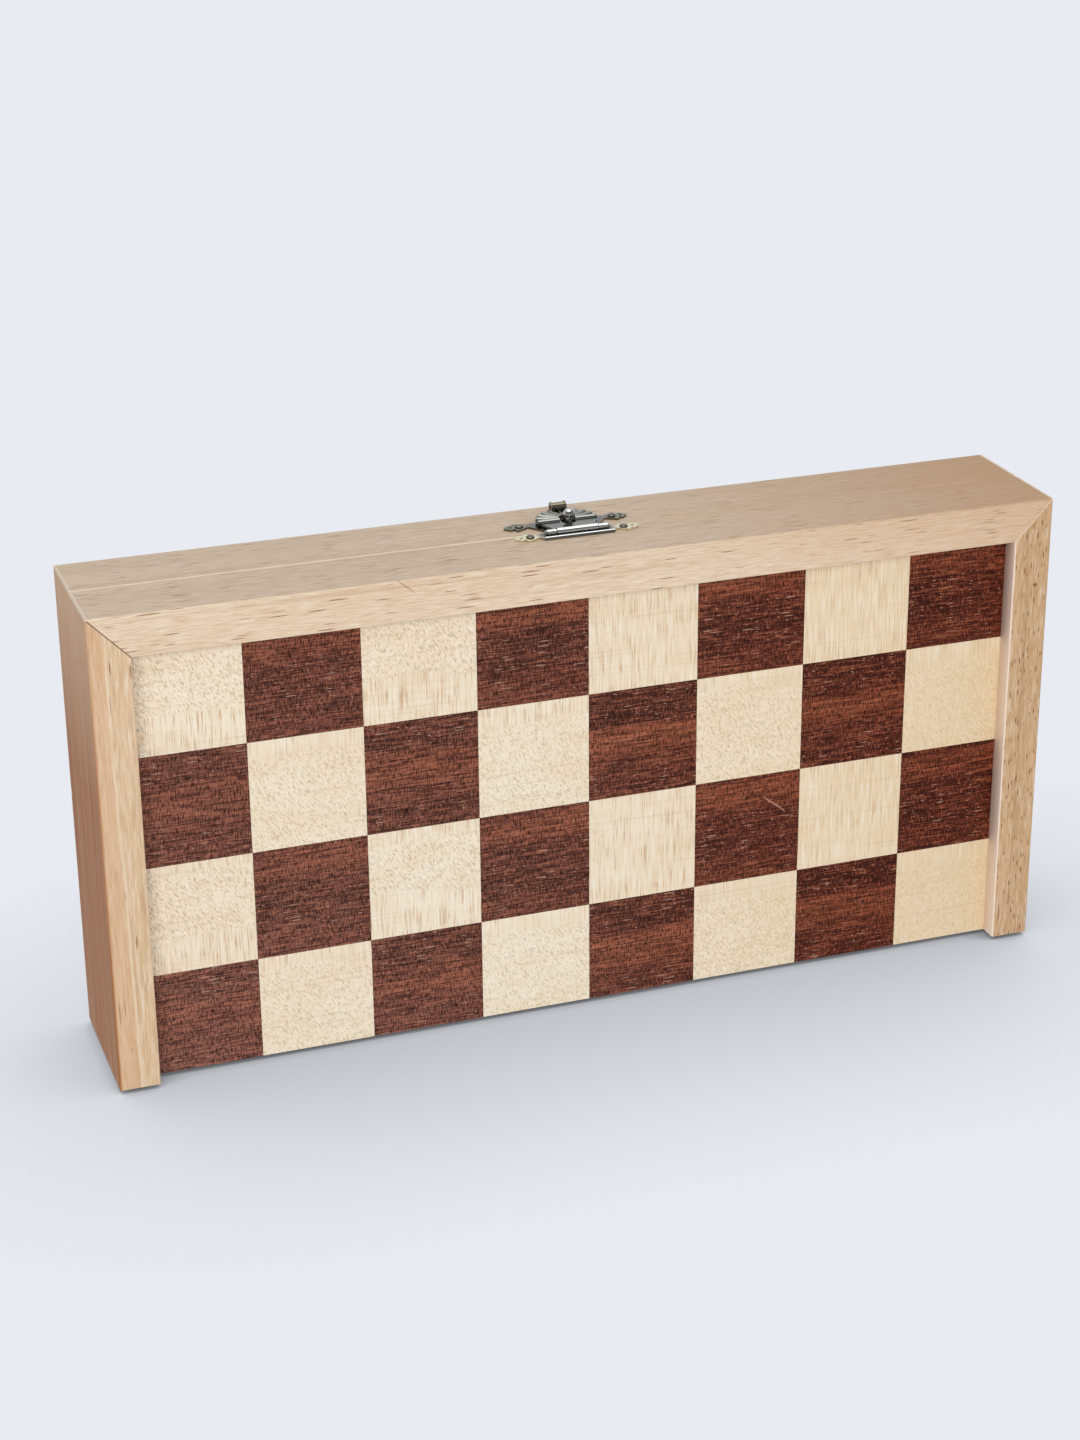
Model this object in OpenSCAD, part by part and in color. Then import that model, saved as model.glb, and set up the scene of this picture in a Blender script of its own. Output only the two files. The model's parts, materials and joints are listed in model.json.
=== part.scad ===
// Folding chess case with its men, closed and standing on its hinge side.
// X runs along the case, Z is up, and Y = 0 is the plane where the two halves meet.
// Every piece of a half is drawn for the front half and mirrored in Y for the rear half.

/* [Board] */
// Side of one square
square = 45; // [42:0.5:50]
// What the saw takes from the row of squares beside the hinge
saw_loss = 2.8; // [0.5:0.1:4]
// How far the end columns run on under the frame
side_tuck = 3; // [1.5:0.1:4]
// How far the top row runs on under the frame
top_tuck = 2.4; // [1.2:0.1:4]
// Thickness of the plywood that carries the veneer
ply_t = 3.2; // [2.5:0.1:4]
// Thickness of the veneer
veneer_t = 0.8; // [0.5:0.1:1.2]
// Hairline between neighbouring squares
veneer_joint = 0.1; // [0.06:0.01:0.2]

/* [Case] */
// Width of the stiles
frame_w = 15.8; // [13:0.1:20]
// Height of the top rails
rail_w = 16.5; // [13:0.1:20]
// Thickness of one half of the case
half_t = 31; // [30.5:0.5:36]
// Depth of the squares below the face of the frame
recess = 7.7; // [5:0.1:8]
// Height of the rail that carries the hinges
hinge_rail_h = 15; // [14:0.5:20]
// Gap between the rims of the closed halves
rim_gap = 0.3; // [0.2:0.05:0.5]
// Radius of the outer edges of the frame
edge_r = 0.7; // [0.4:0.1:2.5]
// Radius of the small edges at the rims and round the board
small_edge_r = 0.5; // [0.2:0.1:0.8]
// Hairline of the mitres
mitre_gap = 0.12; // [0.05:0.01:0.25]

/* [Lining and trays] */
// Thickness of the felt glued inside each half
lining_t = 0.8; // [0.5:0.1:1.2]
// Thickness of the cut foam tray on the felt
tray_t = 7.5; // [5:0.5:8]
// Width of foam left beside and beyond the men
tray_edge = 6; // [4:0.5:8]
// Width of the finger trough across a row of men
trough_w = 15; // [10:0.5:20]
// Depth of the finger trough
trough_depth = 4; // [2:0.5:4.5]

/* [Hinges] */
// Distance of each hinge from the middle of the case
hinge_x = 118; // [80:1:140]
// Length of a hinge
hinge_len = 32; // [28:1:40]
// Width of a leaf
leaf_w = 11; // [10:0.5:13]
// Thickness of a leaf
leaf_t = 1.2; // [0.8:0.1:1.4]
// Outer radius of the knuckles
knuckle_r = 1.7; // [1.5:0.05:2]
// Radius of the hinge pin
hinge_pin_r = 0.8; // [0.6:0.05:0.9]
// Distance of each screw from the middle of its leaf
screw_spread = 10; // [8:0.5:12]
// Radius of a screw head
screw_head_r = 2; // [1.6:0.1:2.4]
// Radius of a screw shank
screw_shank_r = 1; // [0.8:0.05:1.2]
// Length of a screw
screw_len = 9; // [7:0.5:12]

/* [Clasp] */
// Distance of the clasp from the middle of the case
clasp_x = 2.3; // [-10:0.1:10]
// Thickness of the two plates
plate_t = 0.8; // [0.6:0.1:1]
// Thickness of the hasp
hasp_t = 0.9; // [0.7:0.1:1.2]
// Half length of the body of the front plate
plate_half = 14.2; // [13.5:0.1:16]
// Distance of the front edge of the front plate from the joint
plate_front = 8.2; // [7.8:0.1:10]
// Distance of the clasp pin from the joint
barrel_y = 4.4; // [4:0.1:5]
// Outer radius of the middle clasp knuckle
barrel_r = 1.5; // [1.3:0.05:1.6]
// Half length of the whole clasp barrel
barrel_half = 12.3; // [11:0.1:13]
// Half length of the knuckle on the hasp
hasp_knuckle_half = 8.3; // [7:0.1:9]
// Radius of the clasp pin
clasp_pin_r = 0.6; // [0.5:0.05:0.8]
// Distance of each nail from the middle of the clasp
nail_spread = 19; // [18.5:0.1:21]
// Distance of the front nails from the joint
front_nail_y = 4.4; // [4:0.1:5.5]
// Distance of the rear nails from the joint
rear_nail_y = 8.8; // [8:0.1:10]
// Distance of the post from the joint
post_y = 5; // [4.6:0.1:5.6]
// Radius of the ball on the post
ball_r = 2.3; // [2:0.05:2.5]
// Height of the middle of the ball above the wood
ball_h = 5; // [4.6:0.1:5.6]
// Radius of the fan of the hasp
fan_r = 11.2; // [10.5:0.1:13]
// Distance of the middle of the fan from the joint
fan_y = 7; // [6:0.1:8]
// Radius of one flute of the fan
flute_r = 1.15; // [0.9:0.05:1.3]
// Outer radius of the rolled lift
roll_r = 1.6; // [1.3:0.1:2]
// Length of the rolled lift
roll_len = 6.2; // [5:0.2:8]

/* [Chessmen] */
// Height of the king
king_h = 80; // [74:1:82]
// Base of the king
king_d = 27; // [25:0.5:28]
// Height of the queen
queen_h = 72; // [66:1:76]
// Base of the queen
queen_d = 26; // [24:0.5:27]
// Height of a bishop
bishop_h = 62; // [58:1:66]
// Base of a bishop
bishop_d = 24; // [22:0.5:25]
// Height of a knight
knight_h = 56; // [52:1:58]
// Base of a knight
knight_d = 24; // [23:0.5:25]
// Height of a rook
rook_h = 45; // [42:1:48]
// Base of a rook
rook_d = 23.5; // [22:0.5:25]
// Height of a pawn
pawn_h = 42; // [38:1:43]
// Base of a pawn
pawn_d = 20.5; // [19:0.5:22]
// Thickness of the felt under a man
felt_t = 0.8; // [0.5:0.1:1.2]

/* [Hidden] */

$fn = 48;

// Columns of the board, and rows on one half of it
COLUMNS = 8;
ROWS = 4;
// Front half and rear half
FRONT = 0;
REAR = 1;
LEFT = -1;
RIGHT = 1;

// Play of a glued joint, of a foam tray in its half and of a man in his pocket
glue_gap = 0.05;
tray_gap = 0.3;
pocket_gap = 0.6;
// Gap under a man that lies on the lining
rest_gap = 0.2;
// Running play of a pin in its knuckles, and play of a fixed screw, nail or post in its hole
pin_play = 0.05;
hole_play = 0.05;
// Gap between neighbouring knuckles, and round them
knuckle_gap = 0.3;
// Least gap between the hasp and what it lies over
hasp_gap = 0.3;
// How far a cutting tool runs past the surface it cuts
over = 1;

// Hinge axis and sawn edge above the table
axis_z = knuckle_r;
saw_z = axis_z + rim_gap / 2;
// Opening of the frame and outside of the case
open_x = COLUMNS / 2 * square - side_tuck;
open_h = ROWS * square - saw_loss - top_tuck;
out_x = open_x + frame_w;
in_top = saw_z + open_h;
top_z = in_top + rail_w;
in_bottom = saw_z + hinge_rail_h;
// Depths of the layers of a half, measured from the joint plane towards the face
rim = rim_gap / 2;
board_face = half_t - recess;
ply_face = board_face - veneer_t;
ply_back = ply_face - ply_t;
lining_face = ply_back - lining_t;
tray_face = lining_face - tray_t;

// Points of an arc round c
function arc(c, r, from, to, steps = 6) =
    [for (i = [0:steps]) let (a = from + (to - from) * i / steps) [c[0] + r * cos(a), c[1] + r * sin(a)]];

// A rectangle with its own edge radius at each corner, from the lower left round to the upper left
function worn_rectangle(x0, y0, x1, y1, r) = concat(
    arc([x0 + r[0], y0 + r[0]], r[0], 180, 270),
    arc([x1 - r[1], y0 + r[1]], r[1], 270, 360),
    arc([x1 - r[2], y1 - r[2]], r[2], 0, 90),
    arc([x0 + r[3], y1 - r[3]], r[3], 90, 180));

// A smooth curve through the points p, open at its ends
function curve_point(a, b, c, d, t) =
    0.5 * (2 * b + (c - a) * t + (2 * a - 5 * b + 4 * c - d) * t * t + (3 * b - a - 3 * c + d) * t * t * t);
function curve(p, steps) = concat(
    [for (i = [0:len(p) - 2], k = [0:steps - 1])
        curve_point(p[max(i - 1, 0)], p[i], p[i + 1], p[min(i + 2, len(p) - 1)], k / steps)],
    [p[len(p) - 1]]);

module half(side) {
    if (side == FRONT)
        children();
    else
        mirror([0, 1, 0])
            children();
}

// Extrudes an outline drawn in X and Z through the depths d0 to d1 of the front half
module slab(d0, d1) {
    translate([0, -d0, 0])
        rotate([90, 0, 0])
            linear_extrude(d1 - d0)
                children();
}

module x_rod(r, x0, x1, y, z) {
    translate([x0, y, z])
        rotate([0, 90, 0])
            cylinder(h = x1 - x0, r = r);
}

// Frame of one half

// Slot that holds the edge of the board
module groove() {
    slab(ply_back - glue_gap, board_face + glue_gap)
        translate([-open_x - side_tuck - glue_gap, saw_z - over])
            square([2 * (open_x + side_tuck + glue_gap), open_h + top_tuck + glue_gap + over]);
}

// Edge radii of a stile: at the squares, outside, and at the rim outside and inside
EDGES = [small_edge_r, edge_r, small_edge_r, small_edge_r / 2];

module stile(hand) {
    color("burlywood")
        difference() {
            intersection() {
                translate([0, 0, saw_z])
                    linear_extrude(open_h + rail_w)
                        polygon([for (p = worn_rectangle(open_x, -half_t, out_x, -rim, EDGES))
                            [hand * p[0], p[1]]]);
                slab(0, half_t + over)
                    polygon([
                        [hand * (open_x - over), saw_z - over],
                        [hand * (out_x + over), saw_z - over],
                        [hand * (out_x + over), top_z + over - mitre_gap],
                        [hand * (open_x - over), in_top - over - mitre_gap]]);
            }
            groove();
        }
}

module top_rail(side) {
    nail_y = side == FRONT ? front_nail_y : rear_nail_y;
    color("burlywood")
        difference() {
            intersection() {
                translate([-out_x, 0, 0])
                    rotate([90, 0, 90])
                        linear_extrude(2 * out_x)
                            polygon(worn_rectangle(-half_t, in_top, -rim, top_z,
                                [small_edge_r, small_edge_r / 2, small_edge_r, edge_r]));
                slab(0, half_t + over)
                    polygon([
                        [-open_x + over, in_top - over], [open_x - over, in_top - over],
                        [out_x + over, top_z + over], [-out_x - over, top_z + over]]);
            }
            groove();
            for (s = [LEFT, RIGHT])
                translate([clasp_x + s * nail_spread, -nail_y, top_z - nail_len])
                    cylinder(h = nail_len + over, r = nail_r + hole_play);
        }
}

module hinge_rail() {
    color("burlywood")
        difference() {
            slab(rim, ply_back)
                translate([-open_x + glue_gap, saw_z])
                    square([2 * (open_x - glue_gap), hinge_rail_h]);
            for (s = [LEFT, RIGHT]) {
                slab(-over, rim + leaf_t + glue_gap)
                    translate([s * hinge_x - hinge_len / 2 - glue_gap, saw_z - over])
                        square([hinge_len + 2 * glue_gap, leaf_w + over + glue_gap]);
                x_rod(knuckle_r + knuckle_gap, s * hinge_x - hinge_len / 2 - pin_head_t - knuckle_gap,
                    s * hinge_x + hinge_len / 2 + pin_head_t + knuckle_gap, 0, axis_z);
                for (h = [LEFT, RIGHT])
                    translate([s * hinge_x + h * screw_spread, -rim - screw_len - screw_tip, screw_z])
                        rotate([-90, 0, 0])
                            cylinder(h = screw_len + screw_tip + over, r = screw_shank_r + hole_play);
            }
        }
}

// Board of one half

module board() {
    color("tan")
        slab(ply_back, ply_face)
            translate([-COLUMNS / 2 * square, saw_z])
                square([COLUMNS * square, ROWS * square - saw_loss]);
}

// The squares of one shade; row 0 lies beside the hinge
module squares(parity) {
    slab(ply_face, board_face)
        for (row = [0:ROWS - 1], column = [0:COLUMNS - 1])
            if ((row + column) % 2 == parity) {
                z0 = saw_z + max(row * square - saw_loss, 0);
                z1 = saw_z + (row + 1) * square - saw_loss;
                translate([(column - COLUMNS / 2) * square + veneer_joint / 2, z0 + veneer_joint / 2])
                    square([square - veneer_joint, z1 - z0 - veneer_joint]);
            }
}

module light_squares(side) {
    color("wheat")
        squares(side == FRONT ? 1 : 0);
}

module dark_squares(side) {
    color("saddlebrown")
        squares(side == FRONT ? 0 : 1);
}

// Where the men lie

OFFICERS = ["rook", "knight", "bishop", "queen", "king", "bishop", "knight", "rook"];
// Distance between neighbouring men; the two halves are set half of it apart
pitch = (2 * (open_x - tray_edge) - rook_d) / (len(OFFICERS) - 0.5);
// Height of a trough's middle, as a share of the man it runs under
trough_at = 0.62;
// Outer end of the officers' row and of the pawns' row, seen from the front half
officer_end = in_top - tray_edge - felt_t;
pawn_end = in_bottom + tray_edge;

function man_h(kind) =
    kind == "king" ? king_h : kind == "queen" ? queen_h : kind == "bishop" ? bishop_h :
    kind == "knight" ? knight_h : kind == "rook" ? rook_h : pawn_h;
function man_d(kind) =
    kind == "king" ? king_d : kind == "queen" ? queen_d : kind == "bishop" ? bishop_d :
    kind == "knight" ? knight_d : kind == "rook" ? rook_d : pawn_d;
function slot_x(side, i) = (i - (len(OFFICERS) - 1) / 2) * pitch + (side == FRONT ? -1 : 1) * pitch / 4;
function axis_depth(kind) = lining_face - rest_gap - man_d(kind) / 2;
// Height of a man's base, and which way he points
function base_z(side, kind) =
    side == FRONT
        ? (kind == "pawn" ? pawn_end + pawn_h : officer_end)
        : (kind == "pawn" ? in_top - tray_edge - pawn_h : in_bottom + tray_edge + felt_t);
function points_up(side) = side == REAR;

// Puts a man, drawn upright on the origin, into his place in the tray
module stow(side, kind, i) {
    translate([slot_x(side, i), (side == FRONT ? -1 : 1) * axis_depth(kind), base_z(side, kind)])
        rotate([points_up(side) ? 0 : 180, 0, 0])
            children();
}

module lining() {
    color("darkgreen")
        slab(lining_face, ply_back)
            translate([-open_x + tray_gap, in_bottom + tray_gap])
                square([2 * (open_x - tray_gap), in_top - in_bottom - 2 * tray_gap]);
}

// Outline of the pocket of a man, with his base at the origin and his head along +Y
module pocket(kind) {
    wide = man_d(kind) / 2 + pocket_gap;
    narrow = head_r(kind) + pocket_gap;
    shoulder = foot_h + pocket_gap;
    low = -felt_t - pocket_gap;
    high = man_h(kind) + pocket_gap;
    polygon([[-wide, low], [wide, low], [wide, shoulder], [narrow, shoulder + wide - narrow], [narrow, high],
        [-narrow, high], [-narrow, shoulder + wide - narrow], [-wide, shoulder]]);
}

module tray(side) {
    up = points_up(side) ? 1 : -1;
    officer_base = base_z(side, "king");
    pawn_base = base_z(side, "pawn");
    color("darkolivegreen")
        difference() {
            slab(tray_face, lining_face)
                translate([-open_x + tray_gap, in_bottom + tray_gap])
                    square([2 * (open_x - tray_gap), in_top - in_bottom - 2 * tray_gap]);
            for (i = [0:len(OFFICERS) - 1]) {
                slab(tray_face - over, lining_face + over)
                    translate([slot_x(side, i), officer_base])
                        mirror([0, up < 0 ? 1 : 0])
                            pocket(OFFICERS[i]);
                slab(tray_face - over, lining_face + over)
                    translate([slot_x(side, i), pawn_base])
                        mirror([0, up < 0 ? 1 : 0])
                            pocket("pawn");
            }
            for (z = [officer_base + up * rook_h * trough_at, pawn_base + up * pawn_h * trough_at])
                slab(tray_face - over, tray_face + trough_depth)
                    polygon(worn_rectangle(slot_x(side, 0), z - trough_w / 2,
                        slot_x(side, len(OFFICERS) - 1), z + trough_w / 2,
                        [for (k = [0:3]) trough_w / 2 - glue_gap]));
        }
}

// Hinges, two in the sawn edge

KNUCKLES = 3;
knuckle_len = (hinge_len - (KNUCKLES - 1) * knuckle_gap) / KNUCKLES;
pin_head_t = 0.6;
pin_head_r = 1.25;
screw_head_t = 1;
screw_sink = 0.08;
screw_tip = 1.5;
screw_slot = 0.5;
screw_z = saw_z + 0.62 * leaf_w;

// One leaf, drawn as the front one, with the knuckles in the list own
module leaf(x, own) {
    color("goldenrod")
        difference() {
            union() {
                slab(rim, rim + leaf_t)
                    translate([x - hinge_len / 2, axis_z + knuckle_r + knuckle_gap])
                        square([hinge_len, saw_z + leaf_w - axis_z - knuckle_r - knuckle_gap]);
                for (k = own) {
                    x0 = x - hinge_len / 2 + k * (knuckle_len + knuckle_gap);
                    slab(rim, rim + leaf_t)
                        translate([x0, axis_z])
                            square([knuckle_len, knuckle_r + 2 * knuckle_gap]);
                    x_rod(knuckle_r, x0, x0 + knuckle_len, 0, axis_z);
                }
            }
            x_rod(hinge_pin_r + pin_play, x - hinge_len / 2 - over, x + hinge_len / 2 + over, 0, axis_z);
            for (h = [LEFT, RIGHT])
                translate([x + h * screw_spread, -rim - leaf_t - over, screw_z])
                    rotate([-90, 0, 0]) {
                        cylinder(h = leaf_t + 2 * over, r = screw_shank_r + hole_play);
                        translate([0, 0, leaf_t + over - screw_sink - screw_head_t])
                            cylinder(h = screw_head_t, r1 = screw_shank_r + hole_play,
                                r2 = screw_head_r + hole_play);
                        translate([0, 0, leaf_t + over - screw_sink])
                            cylinder(h = over, r = screw_head_r + hole_play);
                    }
        }
}

module hinge_pin(x) {
    color("darkgoldenrod")
        union() {
            x_rod(hinge_pin_r, x - hinge_len / 2 - pin_head_t, x + hinge_len / 2 + pin_head_t, 0, axis_z);
            for (s = [LEFT, RIGHT])
                x_rod(pin_head_r, x + s * (hinge_len / 2 + pin_head_t / 2 + hole_play) - pin_head_t / 2,
                    x + s * (hinge_len / 2 + pin_head_t / 2 + hole_play) + pin_head_t / 2, 0, axis_z);
        }
}

// A countersunk wood screw whose head faces +Y
module screw() {
    rotate([-90, 0, 0])
        difference() {
            rotate_extrude()
                polygon([[0, -screw_len], [screw_shank_r, screw_tip - screw_len],
                    [screw_shank_r, -screw_head_t], [screw_head_r, 0], [0, 0]]);
            translate([-screw_head_r - over, -screw_slot / 2, -screw_slot])
                cube([2 * (screw_head_r + over), screw_slot, 2 * screw_slot]);
        }
}

module hinge_screws() {
    color("goldenrod")
        for (s = [LEFT, RIGHT], h = [LEFT, RIGHT])
            translate([s * hinge_x + h * screw_spread, -rim - screw_sink, screw_z])
                screw();
}

// Clasp on the top of the case

nail_r = 0.7;
nail_len = 9;
nail_head_r = 1.7;
nail_head_t = 0.9;
// Pierced ends of the plates: a round lobe at the nail with an ear on each side, and a trefoil beyond it
lobe_r = 2.9;
ear_at = 1.2;
ear_out = 2.7;
ear_r = 1.1;
tip_at = 3.6;
tip_r = 1.25;
tip_hole_r = 0.65;
// Necks that carry the ends, and where the shoulders of a plate meet them
neck_w = 3;
neck_len = 0.6;
shoulder_x = nail_spread - lobe_r - neck_len;
// How far the front plate keeps back from the joint, and how far its rear corners are cut back
plate_setback = 0.9;
plate_corner = 2.4;
// Rolled bead along the front edge of the front plate, and the outer knuckles pressed up from the plate
bead_r = 0.6;
outer_knuckle_r = 1.2;
// Height of the clasp pin above the wood
barrel_z = barrel_r + hasp_gap;
// Underside and top of the hasp above the wood
hasp_z = plate_t + hasp_gap;
hasp_top = hasp_z + hasp_t;

module on_top() {
    translate([clasp_x, 0, top_z])
        children();
}

// Scalloped and pierced ends of a plate, whose nails lie on the line y
module plate_ends(y, inner) {
    for (s = [LEFT, RIGHT]) {
        translate([s * (nail_spread + inner) / 2, y])
            square([nail_spread - inner, neck_w], center = true);
        translate([s * nail_spread, y])
            circle(lobe_r);
        translate([s * (nail_spread + tip_at + tip_r), y])
            circle(tip_r);
        for (v = [-1, 1]) {
            translate([s * (nail_spread + ear_at), y + v * ear_out])
                circle(ear_r);
            translate([s * (nail_spread + tip_at), y + v * tip_r])
                circle(tip_r);
        }
    }
}

// Body of a plate from y0 to y1, x0 and x1 wide to each side there, with shoulders that slope to necks on
// the line y
module plate_body(x0, y0, x1, y1, y) {
    side = [[x0, y0], [shoulder_x, y - neck_w / 2], [shoulder_x, y + neck_w / 2], [x1, y1]];
    polygon(concat(side, [for (i = [len(side) - 1:-1:0]) [-side[i][0], side[i][1]]]));
}

module plate_holes(y) {
    for (s = [LEFT, RIGHT]) {
        translate([s * nail_spread, y])
            circle(nail_r + hole_play);
        translate([s * (nail_spread + tip_at), y])
            circle(tip_hole_r);
    }
}

module clasp_plate() {
    window = hasp_knuckle_half + knuckle_gap;
    color("darkkhaki")
        on_top()
            difference() {
                union() {
                    linear_extrude(plate_t)
                        difference() {
                            union() {
                                plate_body(plate_half, -plate_front, plate_half - plate_corner,
                                    -rim - plate_setback, -front_nail_y);
                                plate_ends(-front_nail_y, shoulder_x - over);
                            }
                            plate_holes(-front_nail_y);
                            translate([-window, -barrel_y - barrel_r - hasp_gap])
                                square([2 * window, 2 * (barrel_r + hasp_gap)]);
                        }
                    for (x0 = [-barrel_half, window]) {
                        x_rod(outer_knuckle_r, x0, x0 + barrel_half - window, -barrel_y, barrel_z);
                        translate([x0, -barrel_y - outer_knuckle_r, 0])
                            cube([barrel_half - window, 2 * outer_knuckle_r, barrel_z]);
                    }
                    x_rod(bead_r, -plate_half, plate_half, -plate_front + bead_r, plate_t);
                }
                x_rod(clasp_pin_r + pin_play, -barrel_half - over, barrel_half + over, -barrel_y, barrel_z);
            }
}

module clasp_pin() {
    color("gray")
        on_top()
            union() {
                x_rod(clasp_pin_r, -barrel_half - pin_head_t, barrel_half + pin_head_t, -barrel_y, barrel_z);
                for (s = [LEFT, RIGHT])
                    translate([s * (barrel_half + pin_head_t / 2 + hole_play), 0, 0])
                        x_rod(clasp_pin_r * 1.7, -pin_head_t / 2, pin_head_t / 2, -barrel_y, barrel_z);
            }
}

// Two round-headed nails on the line y
module nails(y) {
    color("dimgray")
        on_top()
            for (s = [LEFT, RIGHT])
                translate([s * nail_spread, y, plate_t])
                    rotate_extrude()
                        polygon(concat(
                            [[0, -nail_len], [nail_r, nail_r * 2 - nail_len], [nail_r, 0], [nail_head_r, 0]],
                            [for (a = [15:15:90]) [nail_head_r * cos(a), nail_head_t * sin(a)]]));
}

FLUTES = 11;
// Where the hasp starts to widen, clear of the knuckles of the plate
apron_y = -barrel_y + barrel_r + knuckle_gap;
// The hole that passes over the ball
post_shank_r = 1.5;
post_hole_r = ball_r + 0.55;
post_hole_shift = 0.35;
// Where the flutes start, measured from the middle of the fan
flute_from = 3.2;
// Tongue and rolled lift at the back of the fan
lift_y = fan_y + fan_r - 0.4;
lift_z = hasp_top + roll_r + 0.5;
lift_half = 2.6;
lift_root = 2;
roll_wall = 0.75;
roll_flange_t = 0.6;
roll_flange_r = 0.3;

module hasp() {
    color("khaki")
        on_top()
            difference() {
                union() {
                    x_rod(barrel_r, -hasp_knuckle_half, hasp_knuckle_half, -barrel_y, barrel_z);
                    translate([0, 0, hasp_z])
                        linear_extrude(hasp_t) {
                            polygon([[-hasp_knuckle_half, -barrel_y], [hasp_knuckle_half, -barrel_y],
                                [hasp_knuckle_half, apron_y], [fan_r, fan_y], [-fan_r, fan_y],
                                [-hasp_knuckle_half, apron_y]]);
                            translate([0, fan_y])
                                circle(fan_r);
                        }
                    for (i = [0:FLUTES - 1]) {
                        a = 180 * i / (FLUTES - 1);
                        translate([0, fan_y, hasp_top])
                            rotate([0, 0, a]) {
                                x_rod(flute_r, flute_from, fan_r, 0, 0);
                                translate([fan_r, 0, 0])
                                    sphere(flute_r);
                            }
                    }
                    lift();
                }
                // Nothing of the flutes reaches below the plate
                translate([-fan_r - 2 * flute_r, fan_y - fan_r - over, hasp_z - 2 * flute_r])
                    cube([2 * (fan_r + 2 * flute_r), 2 * (fan_r + over) + 2 * flute_r, 2 * flute_r]);
                translate([0, post_y + post_hole_shift, hasp_z - over])
                    cylinder(h = hasp_t + flute_r + 2 * over, r = post_hole_r);
                x_rod(clasp_pin_r + pin_play, -hasp_knuckle_half - over, hasp_knuckle_half + over,
                    -barrel_y, barrel_z);
            }
}

// Tongue at the back of the fan, turned up and rolled
module lift() {
    difference() {
        union() {
            translate([-lift_half, 0, 0])
                rotate([90, 0, 90])
                    linear_extrude(2 * lift_half)
                        polygon([[lift_y - lift_root, hasp_z + hasp_t / 2],
                            [lift_y + roll_wall, hasp_z + hasp_t / 2],
                            [lift_y + roll_r, lift_z], [lift_y + roll_r - roll_wall, lift_z],
                            [lift_y, hasp_top], [lift_y - lift_root, hasp_top]]);
            x_rod(roll_r, -roll_len / 2, roll_len / 2, lift_y, lift_z);
            for (s = [LEFT, RIGHT])
                x_rod(roll_r + roll_flange_r, s * (roll_len - roll_flange_t) / 2 - roll_flange_t / 2,
                    s * (roll_len - roll_flange_t) / 2 + roll_flange_t / 2, lift_y, lift_z);
        }
        x_rod(roll_r - roll_wall, -roll_len / 2 - over, roll_len / 2 + over, lift_y, lift_z);
    }
}

catch_half = 11;
catch_near = 1.2;
catch_far = 11.6;

module catch_plate() {
    color("darkkhaki")
        on_top()
            linear_extrude(plate_t)
                difference() {
                    union() {
                        plate_body(catch_half, catch_near, catch_half, catch_far, rear_nail_y);
                        plate_ends(rear_nail_y, shoulder_x - over);
                    }
                    plate_holes(rear_nail_y);
                    translate([0, post_y])
                        circle(post_shank_r + hole_play);
                }
}

slit_w = 0.5;
slit_z = plate_t + 1.2;
collar_h = 0.5;
collar_r = 2.2;

// Round-headed post, slit lengthways so that it springs
module catch_post() {
    color("dimgray")
        on_top()
            translate([0, post_y, 0])
                difference() {
                    union() {
                        cylinder(h = ball_h, r = post_shank_r);
                        translate([0, 0, plate_t])
                            cylinder(h = collar_h, r = collar_r);
                        translate([0, 0, ball_h])
                            sphere(ball_r);
                    }
                    for (a = [0, 90])
                        rotate([0, 0, a])
                            translate([-ball_r - over, -slit_w / 2, slit_z])
                                cube([2 * (ball_r + over), slit_w, ball_h - slit_z]);
                }
}

// The men, each standing on the origin

// Height of the turned foot and its bead, common to all men
plinth_h = 3.2;
plinth_edge = 0.8;
foot_bead_r = 1.5;
foot_step = 1.6;
foot_h = plinth_h + 2 * foot_bead_r;
collar_bead_r = 0.9;
under_bead_r = 0.6;

// Widest radius of the upper part of each man
king_head_r = 7.6;
queen_head_r = 7.8;
bishop_head_r = 5.6;
rook_head_r = 7.6;
pawn_head_r = 5.8;
knight_head_r = 11;
function head_r(kind) =
    kind == "king" ? king_head_r + 0.4 : kind == "queen" ? queen_head_r + 0.4 :
    kind == "bishop" ? bishop_head_r + 1.6 : kind == "rook" ? rook_head_r + 0.4 :
    kind == "knight" ? knight_head_r + 0.5 : pawn_head_r + 1.6;

// Foot of a man with base diameter d, from the middle of the base to the top of its bead
function foot(d) = concat(
    [[0, 0]],
    arc([d / 2 - plinth_edge, plinth_edge], plinth_edge, -90, 0, 3),
    arc([d / 2 - plinth_edge, plinth_h - plinth_edge], plinth_edge, 0, 90, 3),
    arc([d / 2 - foot_step - foot_bead_r, plinth_h + foot_bead_r], foot_bead_r, -90, 90, 6));

// Bell that rises from the foot to the waist
function bell(d, waist_r, waist_z, steps = 10) =
    let (r0 = d / 2 - foot_step - 2 * foot_bead_r)
    [for (i = [0:steps]) let (t = i / steps)
        [waist_r + (r0 - waist_r) * pow(1 - t, 2.3), foot_h + (waist_z - foot_h) * t]];

// Collar of radius r whose lowest point is z: a thin bead under a broad one
function collar(r, z) = concat(
    arc([r - 1.6 - under_bead_r, z + under_bead_r], under_bead_r, -90, 90, 4),
    arc([r - collar_bead_r, z + 2 * under_bead_r + collar_bead_r], collar_bead_r, -90, 90, 4));
collar_h_man = 2 * (under_bead_r + collar_bead_r);
// How far the part above a collar stands out from the neck, and up from the collar
neck_flare = 0.4;

// Cup that widens from the neck to its rim, more hollow the higher the power
function cup(neck_r, neck_z, rim_r, rim_z, power) =
    [for (i = [0:8]) let (t = i / 8, r0 = neck_r + neck_flare)
        [r0 + (rim_r - r0) * pow(t, power), neck_z + (rim_z - neck_z) * t]];

module turned(profile) {
    rotate_extrude()
        polygon(profile);
}

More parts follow.
